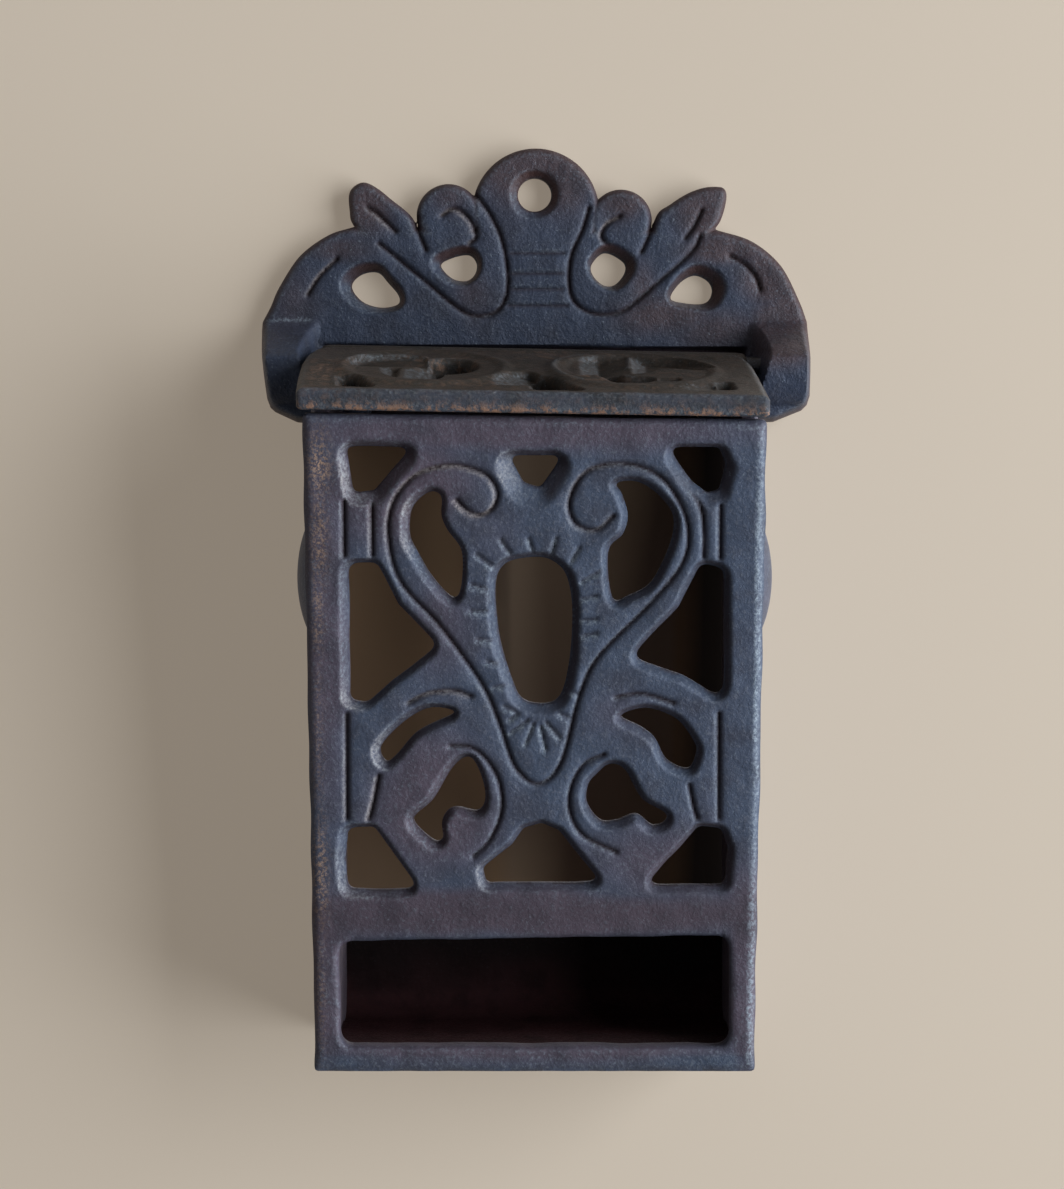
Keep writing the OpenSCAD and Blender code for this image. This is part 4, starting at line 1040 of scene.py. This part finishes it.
lamps = {
    "key": {"place": (1.05, -0.50, -0.02), "size": 1.3, "watts": 38.5, "tint": (0.88, 0.94, 1.0)},
    "fill": {"place": (-1.0, -0.28, 0.12), "size": 0.8, "watts": 1.2, "tint": (1.0, 0.98, 0.95)},
    "rear": {"place": (0.35, 0.80, 0.25), "size": 0.7, "watts": 8.0, "tint": (1.0, 1.0, 1.0)},
}
middle = (0, -0.02, -0.075)  # what the lamps point at


def addLamp(name, spec):
    # square soft light turned to the middle of the holder
    data = bpy.data.lights.new(name, "AREA")
    data.size = spec["size"]
    data.energy = spec["watts"]
    data.color = spec["tint"]
    lamp = addObject(name, data)
    lamp.location = spec["place"]
    lamp.rotation_euler = (Vector(middle) - lamp.location).to_track_quat("-Z", "Y").to_euler()


for name, spec in lamps.items():
    addLamp(name, spec)

# the shade and dark colours and the tables across and up paint the shade on the wall behind the open back
backdrop = {
    "half": 1.2, "behind": 0.0004, "tint": (0.38, 0.322, 0.258), "shade": (0.31, 0.19, 0.10),
    "dark": (0.05, 0.035, 0.025), "rough": 0.8, "lift": 0.6, "liftEnd": 0.65, "sky": (0.93, 0.94, 0.96),
    "level": 0.045, "shown": 0.5, "up": [(1, 0), (4, 1.7), (62, 1.15), (112, 1.04), (116, 0)],
    "across": [(-38.3, 0), (-37, 1.0), (-13, 0.9), (-4, 0.53), (12, 0.54), (25, 0.62), (28, 1.05), (32, 1.9),
               (37, 1.95), (38.3, 0)],
}


def shownRays(tree):
    # 1 for the rays that show the background: straight to the camera, off metal or through glass
    path = addNode(tree, "LightPath", {})
    shown = path.outputs["Is Camera Ray"]
    for kind in ("Is Glossy Ray", "Is Transmission Ray"):
        shown = mathNode(tree, "MAXIMUM", shown, path.outputs[kind])
    return path, shown


def makeBackdrop():
    # pale wall close behind the holder; behind the open back it is painted with shade, whose amount is the
    # product of a table across and a table up, brownish up to 1 and dark beyond, and there its glow seen
    # straight on fades out; seen or lit from behind, it lets everything through
    half = backdrop["half"]
    (acrossX, acrossShade), (upH, upShade) = (np.array(backdrop[key]).T for key in ("across", "up"))
    xs = np.concatenate([[-half], acrossX * mm, [half]])
    zs = np.concatenate([[-half], footZ + upH * mm, [half]])
    gridX, gridZ = (k.ravel() for k in np.meshgrid(xs, zs, indexing="ij"))
    points = np.column_stack([gridX, np.full(gridX.size, backdrop["behind"]), gridZ])
    faces = gridFaces(len(xs), len(zs), len(zs) - 1)[:, [0, 3, 2, 1]]  # turned to face the front
    mesh = bpy.data.meshes.new("wall")
    mesh.from_pydata(points.tolist(), [], faces.tolist())
    shade = np.outer(np.pad(acrossShade, 1), np.pad(upShade, 1)).ravel().astype(np.float32)
    mesh.attributes.new("shade", "FLOAT", "POINT").data.foreach_set("value", shade)
    finish, tree, paint = newFinish("palePaintWithShade")
    dim = markNode(tree, "shade")
    tint = mixNode(tree, dim, backdrop["tint"], backdrop["shade"])
    tint = mixNode(tree, mathNode(tree, "SUBTRACT", dim, 1.0), tint, backdrop["dark"])
    tree.links.new(tint, paint.inputs["Base Color"])
    tree.links.new(tint, paint.inputs["Emission Color"])
    paint.inputs["Roughness"].default_value = backdrop["rough"]
    path, shown = shownRays(tree)
    inputs = {"Value": dim, "From Max": backdrop["liftEnd"], "To Min": backdrop["lift"], "To Max": 0.0}
    lift = addNode(tree, "MapRange", inputs).outputs["Result"]
    tree.links.new(mathNode(tree, "MULTIPLY", shown, lift), paint.inputs["Emission Strength"])
    behind = addNode(tree, "NewGeometry", {}).outputs["Backfacing"]
    through = mathNode(tree, "MAXIMUM", path.outputs["Is Shadow Ray"], behind)
    clear = addNode(tree, "BsdfTransparent", {}).outputs[0]
    blend = addNode(tree, "MixShader", {0: through, 1: paint.outputs[0], 2: clear})
    tree.links.new(blend.outputs[0], tree.nodes["Material Output"].inputs["Surface"])
    mesh.materials.append(finish)
    wall = addObject("wall", mesh)


makeBackdrop()
world = bpy.data.worlds.new("sky")
world.use_nodes = True
sky = world.node_tree.nodes["Background"]
sky.inputs["Color"].default_value = (*backdrop["sky"], 1)
inputs = {"Value": shownRays(world.node_tree)[1], "To Min": backdrop["level"], "To Max": backdrop["shown"]}
seen = addNode(world.node_tree, "MapRange", inputs)
world.node_tree.links.new(seen.outputs["Result"], sky.inputs["Strength"])
bpy.context.scene.world = world
print("stage ready")
